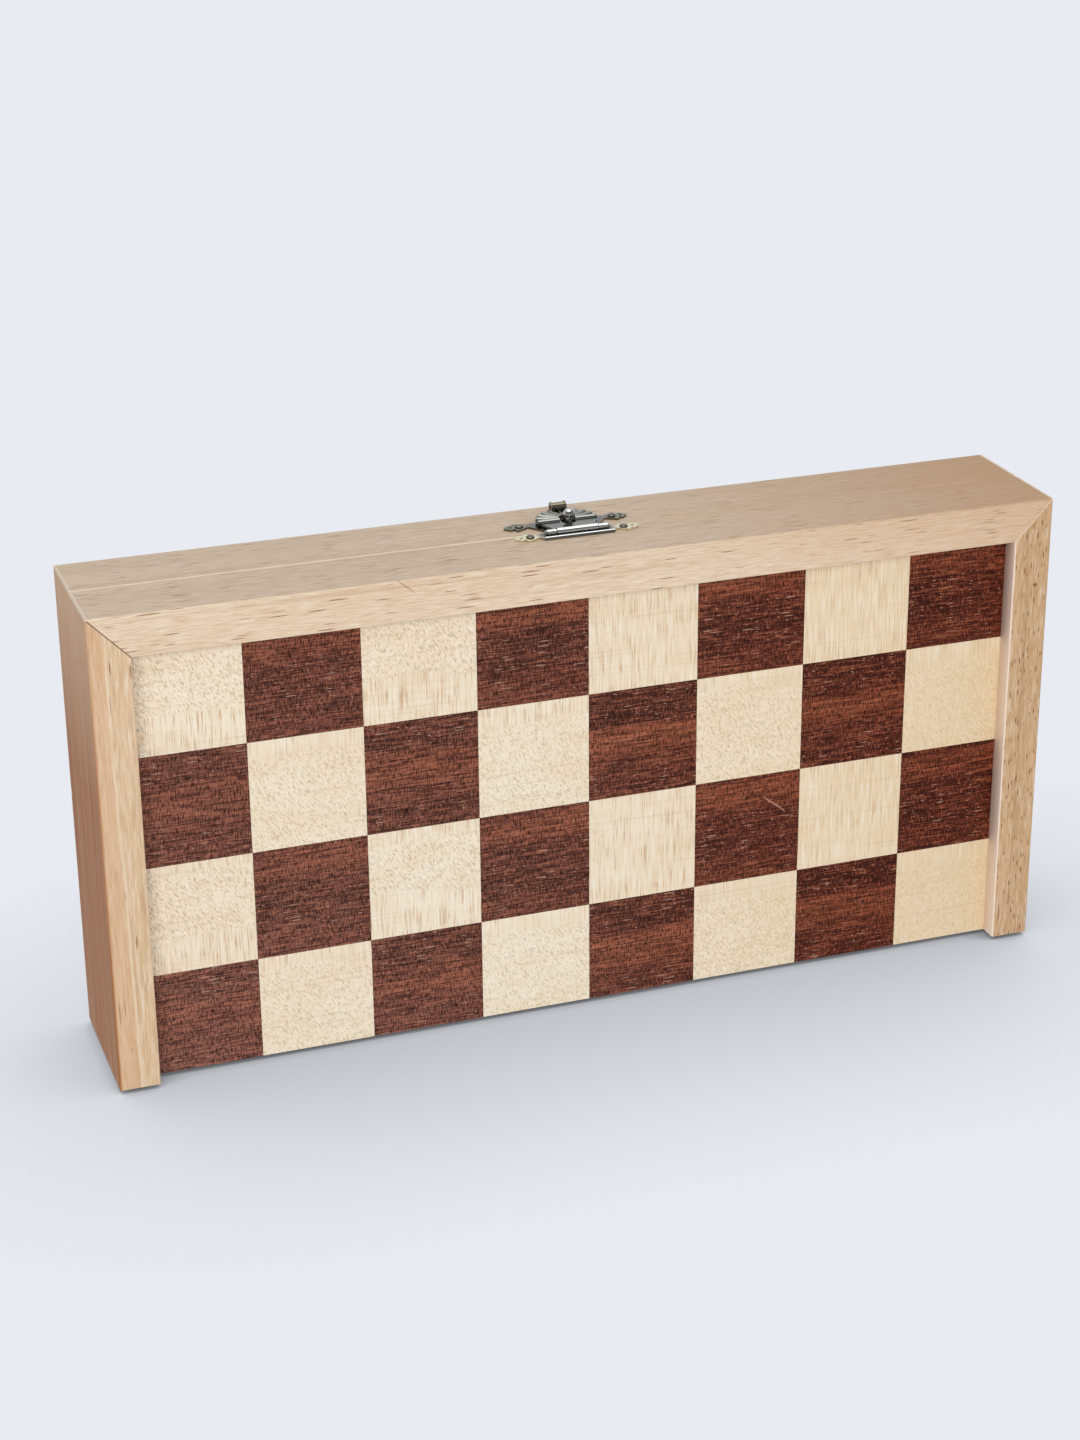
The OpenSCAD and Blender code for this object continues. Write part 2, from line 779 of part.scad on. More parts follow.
module pawn() {
    neck_h = 0.6;
    collar_z = pawn_h - 2 * pawn_head_r - collar_h_man - neck_h;
    neck_r = 3.4;
    head_z = pawn_h - pawn_head_r;
    turned(concat(
        foot(pawn_d),
        bell(pawn_d, neck_r, collar_z),
        collar(pawn_head_r + 1.2, collar_z),
        arc([0, head_z], pawn_head_r, asin(-sqrt(1 - pow(neck_r / pawn_head_r, 2))), 90, 12)));
}

module rook() {
    collar_z = rook_h * 0.6;
    head_z = collar_z + collar_h_man;
    waist_r = 5.4;
    throat_h = 3;
    cove_r = 1.4;
    wall_z = head_z + 5.2;
    well_r = 4.9;
    well_depth = 3.4;
    well_dish = 0.6;
    merlon_h = 3;
    CRENELS = 6;
    crenel_w = 2.4;
    difference() {
        turned(concat(
            foot(rook_d),
            bell(rook_d, waist_r, collar_z),
            collar(rook_head_r, collar_z),
            [[waist_r + neck_flare, head_z], [waist_r + neck_flare, head_z + throat_h]],
            arc([rook_head_r, head_z + throat_h + neck_flare], cove_r, 190, 110, 3),
            [[rook_head_r, wall_z], [rook_head_r, rook_h], [well_r, rook_h],
                [well_r, rook_h - well_depth], [0, rook_h - well_depth - well_dish]]));
        for (i = [0:CRENELS - 1])
            rotate([0, 0, 360 / CRENELS * i])
                translate([well_r - 1, -crenel_w / 2, rook_h - merlon_h])
                    cube([rook_head_r, crenel_w, merlon_h + over]);
    }
}

module bishop() {
    collar_z = bishop_h * 0.6;
    neck_r = 3.6;
    neck_z = collar_z + collar_h_man;
    mitre_z = neck_z + 2.4;
    ball_r = 1.5;
    tip_r = 1.1;
    tip_z = bishop_h - 2 * ball_r + neck_flare;
    cut_x = 1.2;
    cut_w = 1.1;
    difference() {
        turned(concat(
            foot(bishop_d),
            bell(bishop_d, neck_r, collar_z),
            collar(bishop_head_r + 1.4, collar_z),
            [[neck_r, neck_z + neck_flare]],
            // A drop, fullest in its lower third
            [for (i = [0:12]) let (t = i / 12, full = sin(180 * pow(t * 0.86 + 0.14, 0.62)))
                [tip_r + (bishop_head_r - tip_r) * pow(full, 0.8), mitre_z + (tip_z - mitre_z) * t]],
            arc([0, bishop_h - ball_r], ball_r, -42, 90, 6)));
        translate([cut_x, -bishop_head_r - over, (mitre_z + tip_z) / 2])
            rotate([0, -52, 0])
                cube([2 * bishop_head_r, 2 * (bishop_head_r + over), cut_w]);
    }
}

module queen() {
    collar_z = queen_h * 0.66;
    neck_r = 4.2;
    neck_z = collar_z + collar_h_man + neck_flare;
    ball_r = 2;
    dome_r = 5.4;
    dome_h = 2.4;
    rim_w = 1;
    crown_z = queen_h - 2 * ball_r - dome_h;
    POINTS = 9;
    point_cut_r = 1.5;
    point_cut_h = 8;
    difference() {
        turned(concat(
            foot(queen_d),
            bell(queen_d, neck_r, collar_z),
            collar(queen_head_r, collar_z),
            cup(neck_r, neck_z, queen_head_r, crown_z, 1.8),
            [[queen_head_r - rim_w, crown_z + rim_w / 2], [queen_head_r - 2 * rim_w, crown_z]],
            arc([0, crown_z - dome_h], dome_r, 30, 72, 4),
            arc([0, queen_h - ball_r], ball_r, -60, 90, 7)));
        for (i = [0:POINTS - 1])
            rotate([0, 0, 360 / POINTS * i])
                translate([queen_head_r + point_cut_r / 3, 0, crown_z - point_cut_h * 0.4])
                    rotate([0, -20, 0])
                        cylinder(h = point_cut_h, r = point_cut_r);
    }
}

module king() {
    collar_z = king_h * 0.62;
    neck_r = 4.6;
    neck_z = collar_z + collar_h_man + neck_flare;
    cross_h = 8.6;
    cross_half = 3.6;
    cross_t = 2.4;
    cross_waist = 0.9;
    dome_z = king_h - cross_h;
    dome_h = 2.7;
    seat_r = 1.9;
    crown_z = dome_z - dome_h - cross_waist;
    turned(concat(
        foot(king_d),
        bell(king_d, neck_r, collar_z),
        collar(king_head_r, collar_z),
        cup(neck_r, neck_z, king_head_r, crown_z, 1.5),
        [[king_head_r - neck_flare, dome_z - dome_h]],
        [for (a = [0:15:90])
            [seat_r + (king_head_r - 2 * neck_flare - seat_r) * cos(a), dome_z - dome_h * (1 - sin(a))]],
        [[0, dome_z]]));
    // The cross, four arms that widen outwards
    middle_z = dome_z + cross_h * 0.54;
    arm = (king_h - middle_z) * 0.55;
    translate([0, cross_t / 2, 0])
        rotate([90, 0, 0])
            linear_extrude(cross_t) {
                polygon([[-arm, king_h], [-cross_waist, middle_z], [-seat_r, dome_z - cross_waist],
                    [seat_r, dome_z - cross_waist], [cross_waist, middle_z], [arm, king_h]]);
                polygon([[-cross_half, middle_z - arm], [0, middle_z - cross_waist],
                    [cross_half, middle_z - arm], [cross_half, middle_z + arm],
                    [0, middle_z + cross_waist], [-cross_half, middle_z + arm]]);
            }
}

// Side view of the knight's head, from the chest up over the nose and down the mane,
// drawn for a head that reaches from 0 to 1 in height and width
KNIGHT_SIDE = [[0.34, 0], [0.42, 0.14], [0.34, 0.27], [0.16, 0.38], [0.2, 0.45], [0.44, 0.44], [0.6, 0.49],
    [0.66, 0.58], [0.6, 0.67], [0.42, 0.76], [0.3, 0.86], [0.26, 0.93], [0.16, 1], [0.08, 0.91],
    [-0.12, 0.89], [-0.32, 0.79], [-0.46, 0.62], [-0.52, 0.42], [-0.48, 0.2], [-0.44, 0]];
// Front view: half widths at heights, in the same shares
KNIGHT_FRONT = [[0.4, 0], [0.37, 0.15], [0.3, 0.36], [0.27, 0.5], [0.25, 0.66], [0.24, 0.8], [0.2, 0.92],
    [0.12, 1]];
// The step between the foot and the head, and the width that the shares are taken of
knight_step_h = 2.4;
knight_step_r = 1;
knight_foot_h = foot_h + knight_step_h;
knight_reach = 17;
mouth_h = 0.7;
nostril_r = 0.75;
eye_r = 1.15;
cheek_groove_r = 0.8;
ear_gap = 1.4;
LOCKS = 7;
lock_half = 0.5;

module knight() {
    head_h = knight_h - knight_foot_h;
    wide = knight_reach;
    shoulder_r = knight_d / 2 - foot_step - 2 * foot_bead_r + knight_step_r * 0.8;
    side_view = [for (p = curve(KNIGHT_SIDE, 4)) [p[0] * wide, p[1] * head_h]];
    front_right = [for (p = curve(KNIGHT_FRONT, 3)) [p[0] * wide, p[1] * head_h]];
    front_view = concat(front_right,
        [for (i = [len(front_right) - 1:-1:0]) [-front_right[i][0], front_right[i][1]]]);
    turned(concat(
        foot(knight_d),
        [[shoulder_r, foot_h]],
        arc([shoulder_r - knight_step_r, knight_foot_h - knight_step_r], knight_step_r, 0, 90, 4),
        [[0, knight_foot_h]]));
    translate([0, 0, knight_foot_h - glue_gap])
        difference() {
            intersection() {
                translate([0, wide / 2, 0])
                    rotate([90, 0, 0])
                        linear_extrude(wide)
                            polygon(side_view);
                translate([-wide, 0, 0])
                    rotate([90, 0, 90])
                        linear_extrude(2 * wide)
                            polygon(front_view);
            }
            // Between the ears
            translate([-0.1 * wide, 0, 0.9 * head_h])
                rotate([90, 0, 90])
                    linear_extrude(wide)
                        polygon([[0, 0], [ear_gap, 0.2 * head_h], [-ear_gap, 0.2 * head_h]]);
            // Mouth, nostrils and eyes
            translate([0.4 * wide, -wide / 2, 0.505 * head_h])
                rotate([0, -10, 0])
                    cube([wide / 2, wide, mouth_h]);
            for (s = [-1, 1]) {
                translate([0.57 * wide, s * 0.275 * wide, 0.6 * head_h])
                    sphere(nostril_r);
                translate([0.3 * wide, s * 0.285 * wide, 0.76 * head_h])
                    sphere(eye_r);
                // Edge of the cheek
                translate([0.14 * wide, s * 0.34 * wide, 0.6 * head_h])
                    rotate([90, 0, 0])
                        rotate_extrude()
                            translate([0.2 * wide, 0])
                                circle(cheek_groove_r);
            }
            // Locks of the mane
            for (i = [0:LOCKS - 1])
                translate([-0.62 * wide, 0, (0.16 + 0.105 * i) * head_h])
                    rotate([90, 26 - 5 * i, 0])
                        translate([0, 0, -wide / 2])
                            linear_extrude(wide)
                                polygon([[0, -lock_half], [0.34 * wide, 0], [0, lock_half]]);
        }
}

module man(kind) {
    if (kind == "king")
        king();
    else if (kind == "queen")
        queen();
    else if (kind == "bishop")
        bishop();
    else if (kind == "knight")
        knight();
    else if (kind == "rook")
        rook();
    else
        pawn();
}

SHADES = ["moccasin", "sienna"];

module officer(side, i) {
    color(SHADES[side])
        stow(side, OFFICERS[i], i)
            man(OFFICERS[i]);
}

module pawns(side) {
    color(SHADES[side])
        for (i = [0:len(OFFICERS) - 1])
            stow(side, "pawn", i)
                man("pawn");
}

module felts(side) {
    color("green")
        for (i = [0:len(OFFICERS) - 1], kind = [OFFICERS[i], "pawn"])
            stow(side, kind, i)
                translate([0, 0, -felt_t])
                    cylinder(h = felt_t, r = man_d(kind) / 2 - foot_step);
}

half(FRONT) stile(LEFT);  // front_left_stile
half(FRONT) stile(RIGHT);  // front_right_stile
half(FRONT) top_rail(FRONT);  // front_top_rail
half(FRONT) hinge_rail();  // front_hinge_rail
half(FRONT) board();  // front_board
half(FRONT) light_squares(FRONT);  // front_light_squares
half(FRONT) dark_squares(FRONT);  // front_dark_squares
half(FRONT) lining();  // front_lining
half(FRONT) tray(FRONT);  // front_tray
half(REAR) stile(LEFT);  // rear_left_stile
half(REAR) stile(RIGHT);  // rear_right_stile
half(REAR) top_rail(REAR);  // rear_top_rail
half(REAR) hinge_rail();  // rear_hinge_rail
half(REAR) board();  // rear_board
half(REAR) light_squares(REAR);  // rear_light_squares
half(REAR) dark_squares(REAR);  // rear_dark_squares
half(REAR) lining();  // rear_lining
half(REAR) tray(REAR);  // rear_tray
half(FRONT) leaf(-hinge_x, [1]);  // left_hinge_front_leaf
half(REAR) leaf(-hinge_x, [0, 2]);  // left_hinge_rear_leaf
hinge_pin(-hinge_x);  // left_hinge_pin
half(FRONT) leaf(hinge_x, [1]);  // right_hinge_front_leaf
half(REAR) leaf(hinge_x, [0, 2]);  // right_hinge_rear_leaf
hinge_pin(hinge_x);  // right_hinge_pin
half(FRONT) hinge_screws();  // front_hinge_screws
half(REAR) hinge_screws();  // rear_hinge_screws
clasp_plate();
nails(-front_nail_y);  // clasp_nails
hasp();
clasp_pin();
catch_plate();
nails(rear_nail_y);  // catch_nails
catch_post();
officer(FRONT, 0);  // light_left_rook
officer(FRONT, 1);  // light_left_knight
officer(FRONT, 2);  // light_left_bishop
officer(FRONT, 3);  // light_queen
officer(FRONT, 4);  // light_king
officer(FRONT, 5);  // light_right_bishop
officer(FRONT, 6);  // light_right_knight
officer(FRONT, 7);  // light_right_rook
pawns(FRONT);  // light_pawns
felts(FRONT);  // light_felts
officer(REAR, 0);  // dark_left_rook
officer(REAR, 1);  // dark_left_knight
officer(REAR, 2);  // dark_left_bishop
officer(REAR, 3);  // dark_queen
officer(REAR, 4);  // dark_king
officer(REAR, 5);  // dark_right_bishop
officer(REAR, 6);  // dark_right_knight
officer(REAR, 7);  // dark_right_rook
pawns(REAR);  // dark_pawns
felts(REAR);  // dark_felts
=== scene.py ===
# Folding chess case with its men: finishes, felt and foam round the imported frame.
import json
import math
from functools import partial

import bpy
from mathutils import Matrix, Vector

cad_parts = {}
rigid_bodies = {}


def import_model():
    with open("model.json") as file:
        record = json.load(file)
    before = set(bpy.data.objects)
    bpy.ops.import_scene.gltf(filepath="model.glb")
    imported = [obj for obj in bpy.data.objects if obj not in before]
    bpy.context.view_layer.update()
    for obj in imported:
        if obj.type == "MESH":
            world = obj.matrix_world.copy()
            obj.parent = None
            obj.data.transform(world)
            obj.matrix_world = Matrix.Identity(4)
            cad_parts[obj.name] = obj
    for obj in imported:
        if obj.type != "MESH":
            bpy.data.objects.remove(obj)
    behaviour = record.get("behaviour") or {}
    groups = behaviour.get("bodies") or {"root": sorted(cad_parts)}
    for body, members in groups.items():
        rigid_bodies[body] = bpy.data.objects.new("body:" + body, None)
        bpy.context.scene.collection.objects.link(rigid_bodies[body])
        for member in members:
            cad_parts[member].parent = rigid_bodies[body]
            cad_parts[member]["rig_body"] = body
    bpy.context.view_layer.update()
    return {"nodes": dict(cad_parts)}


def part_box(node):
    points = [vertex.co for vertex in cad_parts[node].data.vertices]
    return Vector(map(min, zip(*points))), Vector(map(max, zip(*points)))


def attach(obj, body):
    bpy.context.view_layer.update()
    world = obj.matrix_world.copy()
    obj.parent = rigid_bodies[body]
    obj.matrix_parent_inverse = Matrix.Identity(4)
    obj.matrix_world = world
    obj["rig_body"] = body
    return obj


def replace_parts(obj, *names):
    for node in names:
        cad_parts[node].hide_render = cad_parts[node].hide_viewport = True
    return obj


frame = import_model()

MM = 0.001
LIGHT, DARK = "light", "dark"
HALVES = ("front", "rear")

# ---- Sizes read from the frame, in millimetres

field_low, field_high = (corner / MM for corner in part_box("front_board"))
rail_low, rail_high = (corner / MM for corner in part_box("front_top_rail"))
out_x, top = rail_high.x, rail_high.z
stile_in = -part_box("front_left_stile")[1].x / MM
squares_top = max(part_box(f"front_{shade}_squares")[1].z for shade in (LIGHT, DARK)) / MM
SQUARE = (field_high.x - field_low.x) / 8
clasp_low, clasp_high = (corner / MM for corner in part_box("clasp_plate"))
clasp_x = (clasp_low.x + clasp_high.x) / 2
plate_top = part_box("catch_plate")[1].z / MM
LIFT_LENGTH = 3.4  # the hasp's rolled end
lift_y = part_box("hasp")[1].y / MM - LIFT_LENGTH

# ---- Sizes of what is drawn or softened, in millimetres

EDGE = 0.7  # how far the frame's edges are rounded
METAL_EDGE, PRESSED_EDGE, FOAM_EDGE = 0.1, 0.25, 0.6
FINE_WELD = 0.002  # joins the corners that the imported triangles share
RING_WELD = 0.08  # also evens the rings of a turned man; on a knight it would leave an open edge
SEED_STEP = (3.7, 5.3, 7.1)  # how far one step of a seed moves a pattern, in its own cells
ROW_STEP, HALF_STEP = 173, 37  # how far apart the patterns of two rows and of the two halves are taken
THROUGH = 9  # a pattern's size through the veneer, which a flat face doesn't show
BARREL_Y, FAN_Y = (-6.2, -5.6), (-2.6, -1.8)  # over these the clasp goes from plate to barrel, and on to its fan
PIERCED_END = (15.5, 18)  # how far from the clasp's middle its ends start to be worn
FELT_CELLS = (70, 32)  # about 5 mm each
SHADE_REACH, CONTACT_REACH = 160 * MM, 12 * MM  # how far off the object darkens the floor, softly and at its foot

# Marks of wear: centre, half size, colour and strength, and the turn in degrees where there is one
STILE_NICK = ((-out_x, 30, 101), (2, 1.5, 2), "#f0d9b8", 0.8)
STILE_KNOT = ((187, -31, 157.6), (1.3, 2, 1.0), "#6f4c34", 0.8)
RAIL_CRACK = ((-74.2, -31, 190.6), (0.35, 3, 5.6), "#a47a56", 0.7, -50)
SCRATCHES = [((x, field_low.y, z), (5, 2, 0.45), "#c39b8c", 0.7, 40) for x, z in ((77, 77), (81, 74))]


# ---- Helpers


def linear(colour):
    """An sRGB hex colour as the linear RGBA that Blender's sockets hold."""
    parts = [int(colour[i : i + 2], 16) / 255 for i in (1, 3, 5)]
    return [p / 12.92 if p <= 0.04045 else ((p + 0.055) / 1.055) ** 2.4 for p in parts] + [1]


def add_node(tree, kind, feeds=(), stops=(), **settings):
    """Adds a shader node with its settings and links, and returns its first output. feeds go to inputs by name, or
    to those in use in their order; each is a value or another node's output. stops are a ramp's places, with hex
    colours or greys."""
    made = tree.nodes.new("ShaderNode" + kind)
    for name, value in settings.items():
        setattr(made, name, value)
    for index, (place, colour) in enumerate(stops):
        if index > 1:
            made.color_ramp.elements.new(place)
        element = made.color_ramp.elements[index]
        element.position = place
        element.color = linear(colour) if isinstance(colour, str) else (colour, colour, colour, 1)
    used = [socket for socket in made.inputs if socket.enabled]
    if not isinstance(feeds, dict):
        feeds = dict(zip([socket.identifier for socket in used], feeds))
    for name, value in feeds.items():
        socket = next(s for s in used if name in (s.identifier, s.name))
        if isinstance(value, bpy.types.NodeSocket):
            tree.links.new(value, socket)
        else:
            socket.default_value = value
    return next((socket for socket in made.outputs if socket.enabled), None)


def new_material(name):
    """An empty node material, and the function that adds a node to it."""
    material = bpy.data.materials.new(name)
    material.use_nodes = True
    material.node_tree.nodes.clear()
    return material, partial(add_node, material.node_tree)


def millimetres(add, grain="X"):
    """Place on the object in millimetres, with X turned to lie along the grain."""
    place = add("VectorMath", (add("TexCoord").node.outputs["Object"], (1 / MM,) * 3), operation="MULTIPLY")
    if grain == "X":
        return place
    x, y, z = add("SeparateXYZ", (place,)).node.outputs
    return add("CombineXYZ", (z, y, x))


def in_cells(place, size, seed):
    """What a Mapping node needs to measure a place in cells of this size in millimetres, moved on by the seed."""
    return {"Vector": place, "Location": [seed * step for step in SEED_STEP], "Scale": [1 / s for s in size]}


def clouds(add, place, size, detail=2.0, rough=0.5, seed=0.0):
    """Soft patches as long, thick and wide as size, in millimetres; about 0.2 to 0.8. Each seed gives others."""
    where = add("Mapping", in_cells(place, size, seed))
    return add("TexNoise", {"Vector": where, "Scale": 1.0, "Detail": detail, "Roughness": rough})


def dashes(add, place, cell, share, reach, seed=0.0):
    """Separate dashes on a flat face, in this share of the cells and up to reach of a cell each way; 1 in a dash and
    0 outside."""
    where = add("Mapping", in_cells(place, (*cell, 1), seed))
    near = add("TexVoronoi", {"Vector": where, "Scale": 1.0}, voronoi_dimensions="2D")
    lot = add("SeparateColor", (near.node.outputs["Color"],))
    drawn = add("Math", (lot, 1 - share), operation="GREATER_THAN")
    size = add("MapRange", (lot.node.outputs[1], 0, 1, reach * 0.5, reach))
    inside = add("Math", (size, near), operation="SUBTRACT")
    dash = add("MapRange", (inside, 0, reach * 0.35, 0, 1))
    return add("Math", (dash, drawn), operation="MULTIPLY")


def surface(add, colour, roughness, relief, depth, **fixed):
    """Ends a material. relief is drawn depth millimetres high; fixed are the shader's plain values."""
    normal = add("Bump", {"Height": relief, "Distance": depth * MM})
    plain = {name.replace("_", " "): value for name, value in fixed.items()}
    shader = add("BsdfPrincipled", {"Base Color": colour, "Roughness": roughness, "Normal": normal, **plain})
    add("OutputMaterial", (shader,))


# ---- Woods


def mark(add, colour, centre, size, tint, strength, turn=0.0):
    """One small mark of wear, an ellipsoid of this half size turned in the plane of the front."""
    where = add("Mapping", {"Vector": millimetres(add), "Location": centre, "Rotation": (0, math.radians(turn), 0),
                            "Scale": size}, vector_type="TEXTURE")
    off = add("VectorMath", (where,), operation="LENGTH").node.outputs["Value"]
    amount = add("MapRange", (off, 1.0, 0.5, 0, strength))
    return add("Mix", (amount, colour, linear(tint)), data_type="RGBA")


def beech(name, grain, tones, flecks, seed, dress=()):
    """Planed and waxed beech: fine straight streaks, and the short brown flecks of its rays along the grain, few of
    them long and dark. flecks are their cell, share and reach. A fleck is 0.2 mm wide; it is drawn as 0.5 to 0.7 mm,
    so that it shows in a picture of the whole case."""
    material, add = new_material(name)
    place = millimetres(add, grain)
    broad = add("MapRange", (clouds(add, place, (260, 11, 11), 3, 0.55, seed), 0.35, 0.65, 0, 1))
    colour = add("Mix", (broad, linear(tones[0]), linear(tones[1])), data_type="RGBA")
    fibres = clouds(add, place, (8, 0.6, 0.6), 4, 0.6, seed + 1)
    darker = add("MapRange", (fibres, 0.5, 0.7, 0, 0.45))
    colour = add("Mix", (darker, colour, linear(tones[2])), data_type="RGBA")
    paler = add("MapRange", (fibres, 0.48, 0.3, 0, 0.45))
    colour = add("Mix", (paler, colour, linear("#f8ecd9")), data_type="RGBA")
    lines = add("MapRange", (clouds(add, place, (120, 1.6, 1.6), 3, 0.6, seed + 2), 0.56, 0.7, 0, 0.3))
    colour = add("Mix", (lines, colour, linear(tones[2])), data_type="RGBA")
    along, thick, wide = add("SeparateXYZ", (place,)).node.outputs
    face = add("CombineXYZ", (along, add("Math", (thick, wide), operation="ADD")))
    rays = dashes(add, face, *flecks, seed)
    colour = add("Mix", (add("Math", (rays, 0.8), operation="MULTIPLY"), colour, linear(tones[3])), data_type="RGBA")
    long_rays = dashes(add, face, (60, 3.0), 0.25, 0.1, seed + 3)
    colour = add("Mix", (add("Math", (long_rays, 0.8), operation="MULTIPLY"), colour, linear("#86593d")),
                 data_type="RGBA")
    for change in dress:
        colour = change(add, colour)
    relief = add("Math", (fibres, rays), operation="SUBTRACT")
    surface(add, colour, add("MapRange", (fibres, 0.3, 0.7, 0.5, 0.62)), relief, 0.03, Specular_IOR_Level=0.2)
    return material


def heart_strip(add, colour):
    """The left stile's outer strip is browner, up to a line that wanders inwards on its way down, and its end face
    is browner still below the top, with soft upright streaks."""
    place = millimetres(add)
    x, _, z = add("SeparateXYZ", (place,)).node.outputs
    wander = clouds(add, place, (40, 60, 30), 2, 0.5, 4)
    inner = add("MapRange", (z, top, 0, -out_x + 5.0, -out_x + 7.5))
    line = add("Math", (wander, 1.6, inner), operation="MULTIPLY_ADD")
    depth = add("Math", (line, x), operation="SUBTRACT")
    colour = add("Mix", (add("MapRange", (depth, -0.2, 0.6, 0, 0.4)), colour, linear("#d2a079")), data_type="RGBA")
    edge = add("Math", (depth, -0.2), operation="SUBTRACT")
    edge = add("MapRange", (add("Math", (edge,), operation="ABSOLUTE"), 0.8, 0.1, 0, 0.5))
    colour = add("Mix", (edge, colour, linear("#ecd6ba")), data_type="RGBA")
    face = add("MapRange", (x, -out_x + 1.2, -out_x + 0.2, 0, 1))
    streaks = clouds(add, place, (60, 3.2, 120), 3, 0.6, 6)
    depth = add("Math", (face, add("MapRange", (streaks, 0.35, 0.65, 0.7, 1))), operation="MULTIPLY")
    low = add("MapRange", (z, top - 8, top - 75, 0.2, 1.0))
    colour = add("Mix", (add("Math", (depth, low), operation="MULTIPLY"), colour, linear("#a3622c")),
                 data_type="RGBA")
    return mark(add, colour, *STILE_NICK)


def knocked(add, colour):
    """The right stile has a small brown knot near the top, and its face towards the squares is painted paler, as
    painted light on that inner face.
    """
    x = add("SeparateXYZ", (millimetres(add),)).node.outputs[0]
    # Painted light: the inner face towards the squares is made paler
    inner = add("MapRange", (x, stile_in + EDGE, stile_in + 0.3, 0, 0.9))
    colour = add("Mix", (inner, colour, linear("#fbe6d4")), data_type="RGBA")
    return mark(add, colour, *STILE_KNOT)


def glue_line(add, colour):
    """The mitre is a dark line at the left corner and a pale one at the right. The joint is 0.1 mm wide and is drawn
    as 0.4 mm, so that it shows. The outer corner is paler: worn to bare wood, and with a painted highlight for the
    light that its rounded edge catches."""
    x, _, z = add("SeparateXYZ", (millimetres(add),)).node.outputs
    outwards = add("Math", (x,), operation="ABSOLUTE")
    slope = (top - rail_low.z) / (out_x - stile_in)
    line = add("Math", (outwards, slope, top - slope * out_x), operation="MULTIPLY_ADD")
    off = add("Math", (add("Math", (line, z), operation="SUBTRACT"),), operation="ABSOLUTE")
    tint = add("ValToRGB", (add("MapRange", (x, -1, 1, 0, 1)),), stops=[(0, "#6e4a33"), (1, "#f3dfc3")])
    colour = add("Mix", (add("MapRange", (off, 0.45, 0.17, 0, 0.8)), colour, tint), data_type="RGBA")
    # Wear and painted highlight: the outer corner is made paler
    corner = add("Math", (outwards, z), operation="ADD")
    worn = add("MapRange", (corner, out_x + top - 1.2, out_x + top - 0.6, 0, 0.8))
    return add("Mix", (worn, colour, linear("#f7e6cd")), data_type="RGBA")


def joint_line(add, colour):
    """A pale line along the joint, clear on the left and fading to the right, where the rail is browner: a painted
    highlight for the lit edges at the rim. A short crack runs over the front edge."""
    place = millimetres(add)
    x, y, z = add("SeparateXYZ", (place,)).node.outputs
    off = add("Math", (add("Math", (y,), operation="ABSOLUTE"), clouds(add, place, (9, 9, 9), 2, 0.5, 8)),
              operation="SUBTRACT")
    # Painted highlight: the edges along the joint are made paler, fading towards the right
    rim = add("MapRange", (off, 0.5, 0.0, 0, 1))
    rim = add("Math", (rim, add("MapRange", (x, -20, 60, 0.8, 0.15))), operation="MULTIPLY")
    colour = add("Mix", (rim, colour, linear("#f2dfc4")), data_type="RGBA")
    warm = add("MapRange", (x, 20, out_x, 0, 0.7))
    warm = add("Math", (warm, add("MapRange", (z, top - 1.2, top - 0.3, 0.55, 1))), operation="MULTIPLY")
    colour = add("Mix", (warm, colour, linear("#c39365")), data_type="RGBA")
    return mark(add, colour, *RAIL_CRACK)


def chequer(add):
    """Where a point lies on the chequer: along the strip, how far down its square, whether its row is an even one,
    a chance value for its square, and its place on the strip of veneer in millimetres."""
    x, y, z = add("SeparateXYZ", (millimetres(add),)).node.outputs
    rows = add("Math", (add("Math", (squares_top, z), operation="SUBTRACT"), SQUARE), operation="DIVIDE")
    row = add("Math", (rows,), operation="FLOOR")
    down = add("Math", (rows,), operation="FRACT")
    columns = add("Math", (add("Math", (x, field_low.x), operation="SUBTRACT"), SQUARE), operation="DIVIDE")
    side = add("Math", (y,), operation="SIGN")
    place = add("CombineXYZ", (add("Math", (columns,), operation="FLOOR"), row, side))
    lot = add("TexWhiteNoise", {"Vector": place})
    even = add("Math", (row, 2), operation="MODULO")
    across = add("Math", (down, SQUARE), operation="MULTIPLY")
    across = add("Math", (row, ROW_STEP, across), operation="MULTIPLY_ADD")
    strip = add("CombineXYZ", (x, across, add("Math", (side, HALF_STEP), operation="MULTIPLY")))
    return x, down, even, lot, strip


